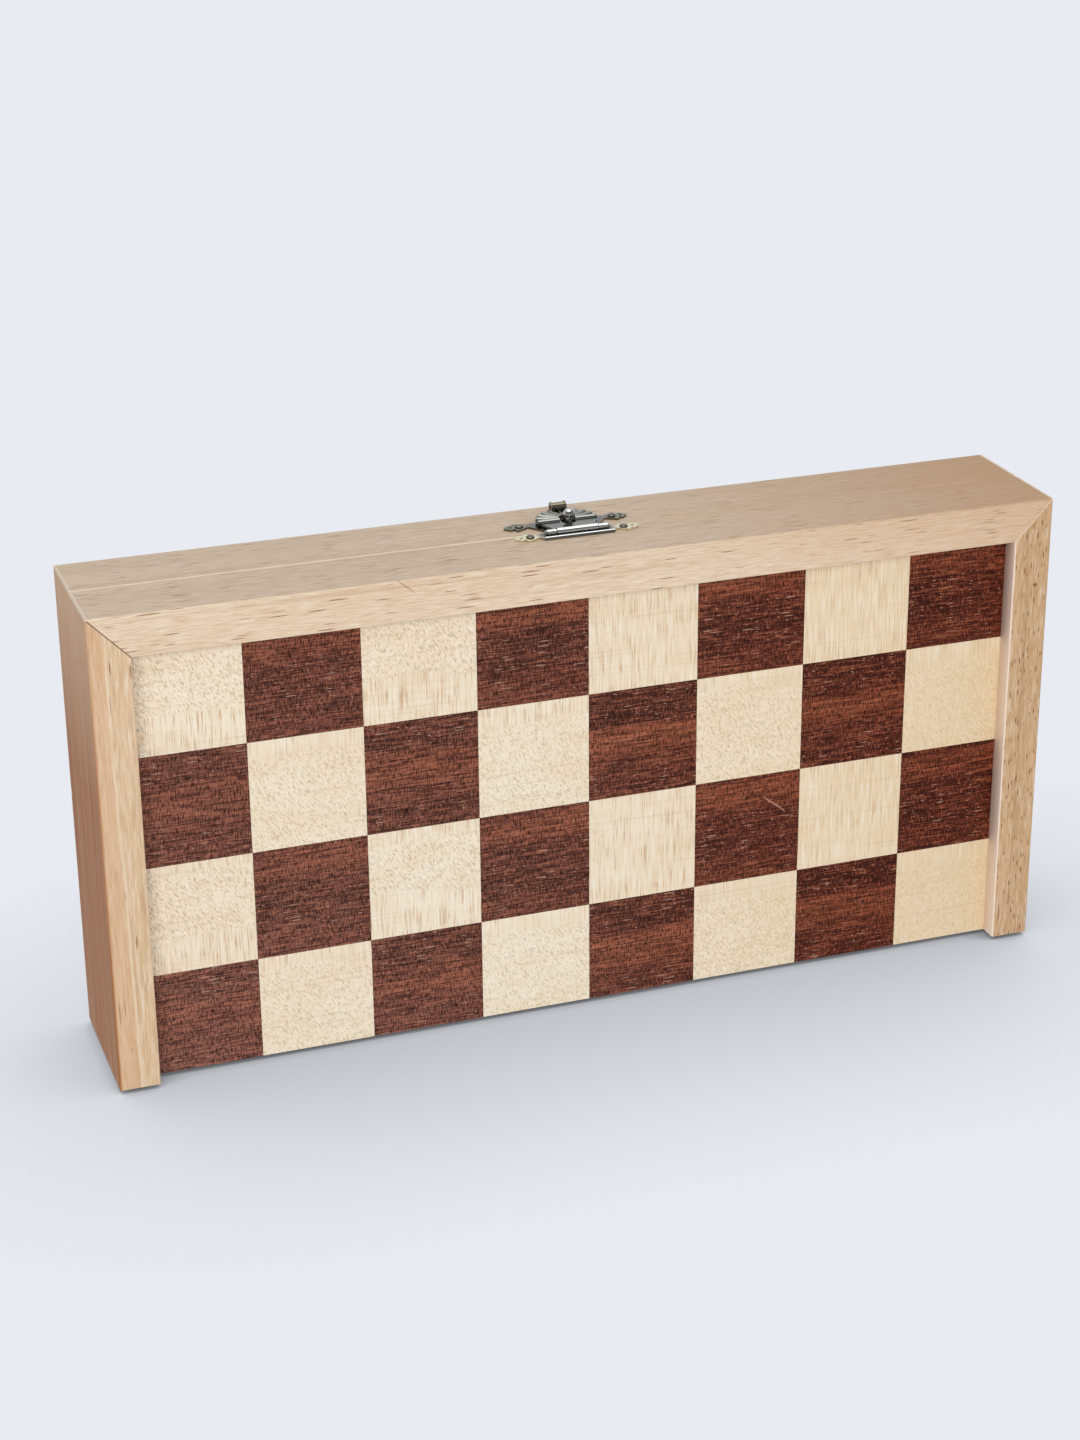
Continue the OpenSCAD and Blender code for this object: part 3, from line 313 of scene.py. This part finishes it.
def sapele():
    """Sliced sapele: in each strip an orange-brown ribbon beside a purple-brown one, a fine mesh of upright and level
    lines, and pale pores, most of them in the darker ribbon. A line is 0.2 mm wide and is drawn as nearly 0.5 mm, so
    that it shows."""
    material, add = new_material("sapele veneer")
    x, down, even, lot, strip = chequer(add)
    sway = clouds(add, strip, (110, 18, 20), 2, 0.5, 1)
    down = add("Math", (down, add("MapRange", (sway, 0.3, 0.7, -0.05, 0.05))), operation="ADD")
    upper = add("ValToRGB", (down,), stops=[(0, 0.3), (0.05, 0.65), (0.18, 0.75), (0.27, 0.6),
                                            (0.34, 0.25), (0.7, 0.2), (0.84, 0.4), (1, 0.38)])
    lower = add("ValToRGB", (down,), stops=[(0, 0.15), (0.27, 0.15), (0.33, 0.7), (0.48, 0.85),
                                            (0.6, 0.55), (0.75, 0.35), (1, 0.22)])
    ribbon = add("Mix", (even, upper, lower), data_type="RGBA")
    contrast = add("MapRange", (x, field_low.x, 60, 0.4, 1.0))
    middle = 0.42
    ribbon = add("Math", (add("Math", (ribbon, middle), operation="SUBTRACT"), contrast, middle),
                 operation="MULTIPLY_ADD")
    bands = clouds(add, strip, (90, 2.2, THROUGH), 4, 0.65, 2)
    tone = ribbon
    for pattern, strength in ((bands, 0.7), (lot, 0.12)):
        centred = add("Math", (pattern, 0.5), operation="SUBTRACT")
        tone = add("Math", (centred, strength, tone), operation="MULTIPLY_ADD")
    colour = add("ValToRGB", (tone,), stops=[(0, "#3b1812"), (0.25, "#56261b"), (0.5, "#7d412d"), (0.75, "#9c573c"),
                                             (1, "#b57150")])
    # Painted reflection: a pale veil for the room mirrored in the squares, stronger on the left and on the lower rows
    painted_reflection = add("MapRange", (x, field_low.x, 100, 0.28, 0.0))
    z = add("SeparateXYZ", (millimetres(add),)).node.outputs[2]
    painted_reflection = add("Math", (painted_reflection, add("MapRange", (z, squares_top, 0, 0.8, 1.8))), operation="MULTIPLY")
    colour = add("Mix", (painted_reflection, colour, linear("#a3786c")), data_type="RGBA")
    # Painted shade: the squares grow darker and redder towards the right, where less light and less sheen reach them
    deep = add("MapRange", (x, 0, field_high.x, 0, 0.6))
    colour = add("Mix", (deep, colour, linear("#571d0e")), data_type="RGBA")
    ticks = clouds(add, strip, (0.45, 2.2, THROUGH), 2, 0.5, 3)
    levels = clouds(add, strip, (9, 0.45, THROUGH), 2, 0.6, 5)
    for mesh, share in ((ticks, 0.9), (levels, 0.75)):
        dark = add("MapRange", (mesh, 0.47, 0.64, 0, share))
        colour = add("Mix", (dark, colour, linear("#2d1009")), data_type="RGBA")
        pale = add("MapRange", (mesh, 0.46, 0.3, 0, share * 0.72))
        colour = add("Mix", (pale, colour, linear("#b06d52")), data_type="RGBA")
    pores = dashes(add, strip, (4.2, 1.2), 0.3, 0.19, 6)
    lines = dashes(add, strip, (17, 1.6), 0.3, 0.16, 7)
    flecks = add("Math", (pores, lines), operation="MAXIMUM")
    amount = add("Math", (flecks, add("MapRange", (ribbon, 0.55, 0.25, 0.15, 0.75))), operation="MULTIPLY")
    colour = add("Mix", (amount, colour, linear("#c19a88")), data_type="RGBA")
    for scratch in SCRATCHES:
        colour = mark(add, colour, *scratch)
    # Painted shade: the colour is multiplied darker and redder towards the right
    red_shade_right = add("MapRange", (x, -20, field_high.x, 0.1, 0.85))
    colour = add("Mix", (red_shade_right, colour, linear("#ffe2c6")), data_type="RGBA", blend_type="MULTIPLY")
    # Painted shadow: a dark strip along the left edge of the squares, where the left stile shades them
    painted_stile_shadow = add("MapRange", (x, field_low.x + 5, field_low.x + 1.5, 0, 0.5))
    colour = add("Mix", (painted_stile_shadow, colour, linear("#2f1b17")), data_type="RGBA")
    relief = add("Math", (add("Math", (ticks, levels), operation="ADD"), flecks), operation="SUBTRACT")
    surface(add, colour, add("MapRange", (levels, 0.3, 0.7, 0.36, 0.5)), relief, 0.02, Specular_IOR_Level=0.2)
    return material


def maple():
    """Sliced maple: cream, with the small tan flakes that its rays leave: upright in bands along the strip, and in
    fainter slanting specks elsewhere, with thin growth lines across them. A flake is 0.2 mm wide and is drawn as
    0.6 mm, so that it shows."""
    material, add = new_material("maple veneer")
    x, down, even, lot, strip = chequer(add)
    soft = clouds(add, strip, (30, 9, THROUGH), 3, 0.5, 11)
    colour = add("Mix", (add("MapRange", (soft, 0.3, 0.7, 0, 1)), linear("#f5e9d4"), linear("#eddcbf")),
                 data_type="RGBA")
    # Painted shade: the squares darken and warm towards the right, where less light falls on them
    colour = add("Mix", (add("MapRange", (x, -20, 180, 0.05, 0.75)), colour, linear("#e4c698")), data_type="RGBA")
    colour = add("Mix", (add("MapRange", (lot, 0, 1, 0, 0.25)), colour, linear("#e3cba8")), data_type="RGBA")
    sway = clouds(add, strip, (60, 6, 20), 2, 0.5, 12)
    down = add("Math", (down, add("MapRange", (sway, 0.3, 0.7, -0.08, 0.08))), operation="ADD")
    even_rows = add("ValToRGB", (down,), stops=[(0, 0.9), (0.14, 0.7), (0.22, 0.05), (1, 0.0)])
    odd_rows = add("ValToRGB", (down,), stops=[(0, 0.9), (0.09, 0.7), (0.15, 0.1), (0.6, 0.2), (0.65, 1.0), (1, 1.0)])
    odd_rows = add("Math", (odd_rows, add("MapRange", (x, -60, 20, 0, 1.1))), operation="MAXIMUM")
    upright = add("Mix", (even, odd_rows, even_rows), data_type="RGBA")
    grain = clouds(add, strip, (0.6, 13, THROUGH), 1, 0.5, 13)
    blocks = add("MapRange", (clouds(add, strip, (5, 6, THROUGH), 1, 0.5, 14), 0.4, 0.6, 0.3, 1))
    blocks = add("Math", (blocks, add("MapRange", (x, -20, 60, 1, 0.55))), operation="MULTIPLY")
    flakes = add("Math", (add("MapRange", (grain, 0.52, 0.66, 0, 1)), blocks), operation="MULTIPLY")
    flakes = add("Math", (flakes, upright), operation="MULTIPLY")
    colour = add("Mix", (add("Math", (flakes, 0.78), operation="MULTIPLY"), colour, linear("#c79f78")),
                 data_type="RGBA")
    bright = add("Math", (add("MapRange", (grain, 0.46, 0.34, 0, 0.35)), upright), operation="MULTIPLY")
    colour = add("Mix", (bright, colour, linear("#fdf5e7")), data_type="RGBA")
    _, across, side = add("SeparateXYZ", (strip,)).node.outputs
    slanted = add("CombineXYZ", (add("Math", (across, -0.5, x), operation="MULTIPLY_ADD"), across, side))
    specks = dashes(add, slanted, (1.5, 2.4), 0.5, 0.24, 15)
    lace = clouds(add, slanted, (0.7, 1.6, THROUGH), 2, 0.5, 18)
    calm = add("Mix", (even, 1.15, 0.9), data_type="FLOAT")
    calm = add("Math", (calm, upright), operation="SUBTRACT", use_clamp=True)
    calm = add("Math", (calm, add("MapRange", (x, 60, 150, 1, 0.6))), operation="MULTIPLY")
    specks = add("Math", (specks, 0.6), operation="MULTIPLY")
    dark = add("Math", (add("MapRange", (lace, 0.53, 0.68, 0, 0.62)), specks), operation="MAXIMUM")
    colour = add("Mix", (add("Math", (dark, calm), operation="MULTIPLY"), colour, linear("#b9a07e")),
                 data_type="RGBA")
    shine = add("Math", (add("MapRange", (lace, 0.46, 0.32, 0, 0.52)), calm), operation="MULTIPLY")
    colour = add("Mix", (shine, colour, linear("#fbf3e4")), data_type="RGBA")
    rings = add("MapRange", (clouds(add, strip, (70, 1.1, THROUGH), 1, 0.5, 16), 0.62, 0.7, 0, 0.22))
    colour = add("Mix", (rings, colour, linear("#cbb08a")), data_type="RGBA")
    dirt = add("MapRange", (clouds(add, slanted, (0.9, 1.8, THROUGH), 2, 0.6, 17), 0.5, 0.62, 0, 0.7))
    left = add("MapRange", (x, field_low.x + 10, field_low.x + 3, 0, 1))
    colour = add("Mix", (add("Math", (dirt, left), operation="MULTIPLY"), colour, linear("#857f72")),
                 data_type="RGBA")
    relief = add("Math", (flakes, lace), operation="SUBTRACT")
    surface(add, colour, add("MapRange", (soft, 0.3, 0.7, 0.42, 0.52)), relief, 0.012, Specular_IOR_Level=0.3)
    return material


def plywood():
    """Birch plywood: three plies, the middle one browner, because its end grain shows at the sawn edge."""
    material, add = new_material("birch plywood")
    place = millimetres(add)
    y = add("SeparateXYZ", (place,)).node.outputs[1]
    deep = add("Math", (add("Math", (y,), operation="ABSOLUTE"), -field_high.y), operation="SUBTRACT")
    thick = field_high.y - field_low.y
    off = add("Math", (add("Math", (deep, thick / 2), operation="SUBTRACT"),), operation="ABSOLUTE")
    core = add("MapRange", (off, thick * 0.2, thick * 0.16, 0, 1))
    fibres = clouds(add, place, (14, 0.8, 0.8), 4, 0.6, 21)
    colour = add("Mix", (core, linear("#dcc49c"), linear("#b39164")), data_type="RGBA")
    colour = add("Mix", (add("MapRange", (fibres, 0.5, 0.75, 0, 0.4)), colour, linear("#a9835a")), data_type="RGBA")
    surface(add, colour, add("MapRange", (fibres, 0.3, 0.7, 0.6, 0.75)), fibres, 0.03)
    return material


def turned_wood(name, tones, gloss, fine):
    """Turned and polished wood for the men: grain along the man, and the fine rings that the gouge leaves."""
    material, add = new_material(name)
    place = millimetres(add, "Z")
    broad = add("MapRange", (clouds(add, place, (70, 5, 5), 3, 0.55, 31), 0.3, 0.7, 0, 1))
    colour = add("Mix", (broad, linear(tones[0]), linear(tones[1])), data_type="RGBA")
    fibres = clouds(add, place, (12, 0.6, 0.6), 4, 0.6, 32)
    colour = add("Mix", (add("MapRange", (fibres, 0.5, 0.75, 0, fine)), colour, linear(tones[2])), data_type="RGBA")
    rings = clouds(add, place, (0.35, 60, 60), 2, 0.6, 33)
    relief = add("Math", (rings, 0.6, fibres), operation="MULTIPLY_ADD")
    surface(add, colour, add("MapRange", (fibres, 0.3, 0.7, gloss, gloss + 0.12)), relief, 0.012)
    return material


# ---- Metals


def plated(name, tones, scale, rough, dress=None):
    """Cast or drawn metal with an aged plating: dark in patches, scratched finely."""
    material, add = new_material(name)
    place = millimetres(add)
    patch = add("MapRange", (clouds(add, place, (scale,) * 3, 4, 0.6, 41), 0.35, 0.65, 0, 1))
    colour = add("Mix", (patch, linear(tones[0]), linear(tones[1])), data_type="RGBA")
    scratches = clouds(add, place, (3, 0.15, 0.15), 3, 0.6, 42)
    bare = add("MapRange", (scratches, 0.55, 0.75, 0, 0.5))
    colour = add("Mix", (bare, colour, linear(tones[2])), data_type="RGBA")
    if dress:
        colour = dress(add, colour)
    surface(add, colour, add("MapRange", (patch, 0, 1, rough, rough + 0.1)), scratches, 0.002, Metallic=1.0)
    return material


def handled(add, colour):
    """Where hands reach it the clasp is bright: the bead, and the upper side of the barrel. The barrel's lower side
    is painted dark, as painted shade for the dark that it mirrors. The cast fan behind the barrel is duller, and its
    lift browner, and the plating has worn to pale brass on the front plate's pierced ends and to olive on the rear
    plate's."""
    place = millimetres(add)
    x, y, z = add("SeparateXYZ", (place,)).node.outputs
    raised = add("MapRange", (z, plate_top + 0.1, plate_top + 0.5, 0, 0.9))
    colour = add("Mix", (raised, colour, linear("#dcdcd6")), data_type="RGBA")
    # Painted shade: the lower half of the barrel is made dark
    painted_barrel_shade = add("MapRange", (z, plate_top + 1.3, plate_top + 0.9, 0, 0.8))
    barrel = add("MapRange", (y, *BARREL_Y, 0, 1))
    colour = add("Mix", (add("Math", (painted_barrel_shade, barrel), operation="MULTIPLY"), colour, linear("#4b4a45")),
                 data_type="RGBA")
    colour = add("Mix", (add("MapRange", (y, *FAN_Y, 0, 0.85)), colour, linear("#6d6c65")), data_type="RGBA")
    crests = add("MapRange", (z, plate_top + 1.3, plate_top + 2.3, 0, 0.3))
    colour = add("Mix", (crests, colour, linear("#b9b7a6")), data_type="RGBA")
    off = add("Math", (add("Math", (x, clasp_x), operation="SUBTRACT"),), operation="ABSOLUTE")
    off = add("Math", (clouds(add, place, (2, 2, 2), 3, 0.6, 43), 3.0, off), operation="MULTIPLY_ADD")
    worn = add("MapRange", (off, *PIERCED_END, 0, 0.9))
    brass = add("ValToRGB", (add("MapRange", (y, -1, 1, 0, 1)),), stops=[(0, "#f6ebc8"), (1, "#7d7966")])
    colour = add("Mix", (worn, colour, brass), data_type="RGBA")
    return add("Mix", (add("MapRange", (y, lift_y - 0.2, lift_y + 0.2, 0, 0.85)), colour, linear("#75694a")),
               data_type="RGBA")


# ---- Felt and foam


def wool_felt(name, tones):
    """Pressed wool felt: matt, with short tangled fibres about 0.3 mm apart and a little pilling."""
    material, add = new_material(name)
    place = millimetres(add)
    tangle = clouds(add, place, (0.5, 0.5, 0.5), 5, 0.7, 51)
    pills = clouds(add, place, (2.5, 2.5, 2.5), 3, 0.6, 52)
    colour = add("Mix", (add("MapRange", (tangle, 0.35, 0.65, 0, 1)), linear(tones[0]), linear(tones[1])),
                 data_type="RGBA")
    colour = add("Mix", (add("MapRange", (pills, 0.5, 0.7, 0, 0.35)), colour, linear(tones[2])), data_type="RGBA")
    surface(add, colour, add("MapRange", (pills, 0.3, 0.7, 0.86, 0.98)), tangle, 0.25,
            Sheen_Weight=0.35, Sheen_Roughness=0.5)
    return material


# ---- Pieces


def select_only(obj):
    bpy.ops.object.select_all(action="DESELECT")
    obj.select_set(True)
    bpy.context.view_layer.objects.active = obj


def finished(obj, node, material):
    """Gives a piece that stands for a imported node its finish, and sets it on that node's body."""
    obj.data.materials.clear()
    obj.data.materials.append(material)
    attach(obj, frame["nodes"][node]["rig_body"])
    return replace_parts(obj, node)


def merged_copy(node, name, weld=FINE_WELD, rings=False):
    """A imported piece's own shape with its triangles joined, into whole flat faces or, on a turned piece, into the
    four-sided ones of its rings, so that it can be bevelled and smoothed. Corners nearer than weld become one."""
    obj = bpy.data.objects.new(name, frame["nodes"][node].data.copy())
    bpy.context.scene.collection.objects.link(obj)
    select_only(obj)
    bpy.ops.object.mode_set(mode="EDIT")
    bpy.ops.mesh.select_all(action="SELECT")
    bpy.ops.mesh.remove_doubles(threshold=weld * MM)
    if rings:
        bpy.ops.mesh.tris_convert_to_quads(face_threshold=math.radians(12), shape_threshold=math.radians(60))
    else:
        bpy.ops.mesh.dissolve_limited(angle_limit=math.radians(0.4))
    bpy.ops.object.mode_set(mode="OBJECT")
    return obj


def smoothed(obj, angle=35, soften=0, weight=100):
    """Rounds the sharp edges by soften where asked, and shades smooth what meets at less than angle."""
    select_only(obj)
    if soften:
        edge = obj.modifiers.new("soft edges", "BEVEL")
        edge.width = soften * MM
        edge.segments = 3
        edge.limit_method = "ANGLE"
        edge.angle_limit = math.radians(40)
        bpy.ops.object.modifier_apply(modifier=edge.name)
    bpy.ops.object.shade_smooth_by_angle(angle=math.radians(angle))
    flats = obj.modifiers.new("flat faces stay flat", "WEIGHTED_NORMAL")
    flats.mode = "FACE_AREA_WITH_ANGLE"
    flats.weight = weight
    flats.keep_sharp = True
    bpy.ops.object.modifier_apply(modifier=flats.name)
    return obj


def restyled(node, made, material, angle=35, soften=0):
    """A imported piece's own shape, smoothed and in its finish. Its name ends with how it was made."""
    finished(smoothed(merged_copy(node, f"{node}_{made}"), angle, soften), node, material)


# Finishes
RAIL_TONES, RAIL_DRESS = ("#e6cfb5", "#dfc6a9", "#b68c66", "#845238"), (joint_line, glue_line)
rail_beech = beech("beech top rail", "X", RAIL_TONES, ((27, 1.6), 0.42, 0.17), 1, RAIL_DRESS)
rear_rail_beech = beech("beech rear rail", "X", RAIL_TONES, ((27, 1.6), 0.25, 0.14), 9, RAIL_DRESS)
left_beech = beech("beech left stile", "Z", ("#dfc3a2", "#d6b791", "#b08660", "#96674a"),
                   ((22, 2.4), 0.15, 0.15), 3, (heart_strip, glue_line))
right_beech = beech("beech right stile", "Z", ("#d1ac84", "#c69f76", "#976b44", "#6a442b"),
                    ((9, 1.6), 0.7, 0.2), 5, (glue_line, knocked))
inner_beech = beech("beech hinge rail", "X", ("#dfc6a4", "#d3b591", "#b08861", "#8f6246"),
                    ((14, 2), 0.5, 0.16), 7)
maple_veneer = maple()
sapele_veneer = sapele()
birch_ply = plywood()
boxwood = turned_wood("polished boxwood", ("#e6cb98", "#dbb97d", "#b98e54"), 0.26, 0.35)
stained = turned_wood("dark stained hornbeam", ("#6a3a26", "#4f2819", "#2b140c"), 0.24, 0.6)
antique = plated("antique brass", ("#6d6f70", "#7e7f7b", "#a29f8e"), 3.5, 0.1, handled)
post_steel = plated("polished post", ("#a9a9a6", "#c2c1bb", "#dcd8c8"), 3.5, 0.07)
nail_brass = plated("dark nail brass", ("#57534a", "#736d60", "#9c9175"), 2.5, 0.16)
hinge_brass = plated("rolled brass", ("#d8bb78", "#e4ca8c", "#f3e0b0"), 6, 0.28)
pin_steel = plated("drawn steel", ("#8c8c8a", "#a3a3a0", "#c8c8c4"), 4, 0.25)
green_felt = wool_felt("bottle green wool felt", ("#123726", "#1c4a33", "#2c5f45"))
flock = wool_felt("green flocked foam", ("#173f2c", "#215238", "#2f6a4b"))
base_felt = wool_felt("green base felt", ("#184730", "#23593e", "#357455"))

FRAME_WOOD = {"left_stile": left_beech, "right_stile": right_beech, "hinge_rail": inner_beech}
for half in HALVES:
    for member, wood in {**FRAME_WOOD, "top_rail": rail_beech if half == "front" else rear_rail_beech}.items():
        restyled(f"{half}_{member}", "waxed", wood)
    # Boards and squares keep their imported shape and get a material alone
    for member, wood in (("board", birch_ply), ("light_squares", maple_veneer), ("dark_squares", sapele_veneer)):
        materials = frame["nodes"][f"{half}_{member}"].data.materials
        materials.clear()
        materials.append(wood)

OFFICERS = ("left_rook", "left_knight", "left_bishop", "queen", "king", "right_bishop", "right_knight", "right_rook")
for shade, wood, slot in ((LIGHT, boxwood, "boxwood"), (DARK, stained, "stained_wood")):
    for man in (*OFFICERS, "pawns"):
        node = f"{shade}_{man}"
        whole = merged_copy(node, f"{node}_polished", FINE_WELD if "knight" in man else RING_WELD, rings=True)
        finished(smoothed(whole, 32, weight=50), node, wood)
    restyled(f"{shade}_felts", "pressed", base_felt, 40, PRESSED_EDGE)

for node in ("clasp_plate", "clasp_nails", "hasp", "catch_plate", "catch_nails", "catch_post"):
    metal = {"nails": nail_brass, "post": post_steel}.get(node.split("_")[-1], antique)
    restyled(node, "plated", metal, soften=METAL_EDGE)
restyled("clasp_pin", "drawn", pin_steel, soften=METAL_EDGE)
for side in ("left", "right"):
    for half in HALVES:
        restyled(f"{side}_hinge_{half}_leaf", "rolled", hinge_brass, soften=METAL_EDGE)
    restyled(f"{side}_hinge_pin", "drawn", hinge_brass)
for half in HALVES:
    restyled(f"{half}_hinge_screws", "turned", hinge_brass)


def felt_lining(half):
    """A sheet of felt laid on the inside of the board."""
    node = f"{half}_lining"
    low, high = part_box(node)
    size, middle = high - low, (low + high) / 2
    bpy.ops.object.select_all(action="DESELECT")
    bpy.ops.mesh.primitive_grid_add(x_subdivisions=FELT_CELLS[0], y_subdivisions=FELT_CELLS[1], size=1,
                                    location=middle, rotation=(math.radians(90), 0, 0))
    obj = bpy.context.object
    obj.name = f"{half}_felt_lining"
    obj.scale = (size.x, size.z, 1)
    bpy.ops.object.transform_apply(location=True, rotation=True, scale=True)
    wall = obj.modifiers.new("thickness", "SOLIDIFY")
    wall.thickness = size.y
    wall.offset = 0
    bpy.ops.object.modifier_apply(modifier=wall.name)
    smoothed(obj, 40)
    finished(obj, node, green_felt)


def foam_tray(half):
    """A foam tray with a flocked face, its cut edges pressed round."""
    node = f"{half}_tray"
    obj = smoothed(merged_copy(node, f"{half}_foam_tray"), 40, FOAM_EDGE)
    finished(obj, node, flock)


for half in HALVES:
    felt_lining(half)
    foam_tray(half)

# ---- Studio

bpy.ops.object.select_all(action="DESELECT")
bpy.ops.mesh.primitive_plane_add(size=40, location=(0, 0, 0))
floor = bpy.context.object
floor.name = "floor"
# The floor shows the pale room behind it, darker only where the object shades it, so that the half of the case that
# swings down below it stays in view
floor_paint, add = new_material("pale clear floor")
around = add("AmbientOcclusion", {"Distance": SHADE_REACH}, samples=24).node.outputs["AO"]
contact = add("AmbientOcclusion", {"Distance": CONTACT_REACH}, samples=24).node.outputs["AO"]
clear = add("Math", (add("MapRange", (around, 0, 1, 0.3, 1)), add("MapRange", (contact, 0, 0.7, 0.3, 1))),
            operation="MULTIPLY")
add("OutputMaterial", (add("BsdfTransparent", (clear,)),))
floor.data.materials.append(floor_paint)
floor.visible_diffuse = floor.visible_glossy = floor.visible_transmission = floor.visible_shadow = False

world = bpy.data.worlds.new("pale room")
bpy.context.scene.world = world
world.use_nodes = True
world.node_tree.nodes.clear()
add = partial(add_node, world.node_tree)
# Metal mirrors the pale wall behind the case, a bright ceiling, and a darker room in front of it, and the front of
# the case has a faint sheen of the table
PALE = linear("#e8ebf1")
_, y, z = add("SeparateXYZ", (add("TexCoord").node.outputs["Generated"],)).node.outputs
ceiling = add("MapRange", (z, 0.74, 0.88, 0.15, 2.8))
wall = add("MapRange", (y, -0.1, 0.3, 0, 1))
table = add("MapRange", (z, 0.48, 0.42, 0, 0.4))
above = add("Math", (ceiling, wall), operation="MAXIMUM")
mirrored = add("Background", (PALE, add("Math", (above, table), operation="MAXIMUM")))
lit = add("Background", (linear("#eceef2"), 0.68))
shown = add("Background", (PALE, 1.0))
ray = add("LightPath").node.outputs
seen = add("Math", (ray["Is Camera Ray"], ray["Is Transmission Ray"]), operation="MAXIMUM")
light = add("MixShader", (ray["Is Glossy Ray"], lit, mirrored))
add("OutputWorld", (add("MixShader", (seen, light, shown)),))


# One white softbox, behind and above the camera
lamp = bpy.data.lights.new("key softbox", "AREA")
lamp.shape = "RECTANGLE"
lamp.size, lamp.size_y = 1.7, 0.8
lamp.energy = 17.3
key = bpy.data.objects.new("key softbox", lamp)
key.location = (-0.5, -1.6, 0.75)
key.rotation_euler = (Vector((0, 0, 0.1)) - key.location).to_track_quat("-Z", "Y").to_euler()
bpy.context.scene.collection.objects.link(key)
key.visible_glossy = False  # metal mirrors the room, and not this box

# The photograph's camera, from the corners of the squares: where it stands and how it is turned
CAMERA_PLACE = Vector((-0.3461, -0.9672, 0.5466))
CAMERA_RIGHT = Vector((0.94394, -0.33001, -0.00871))
CAMERA_AHEAD = Vector((0.30101, 0.87121, -0.38779))
FOCAL_PIXELS = 2823.2
PHOTO_HEIGHT = 1440

lens = bpy.data.cameras.new("photograph's camera")
lens.sensor_width = 36
lens.lens = FOCAL_PIXELS / PHOTO_HEIGHT * lens.sensor_width
lens.clip_start = 0.01
lens.clip_end = 60
camera = bpy.data.objects.new("camera", lens)
back = -CAMERA_AHEAD.normalized()
up = back.cross(CAMERA_RIGHT).normalized()
right = up.cross(back)
camera.matrix_world = Matrix.Translation(CAMERA_PLACE) @ Matrix((right, up, back)).transposed().to_4x4()
bpy.context.scene.collection.objects.link(camera)
bpy.context.scene.camera = camera
bpy.context.scene.view_settings.view_transform = "Standard"
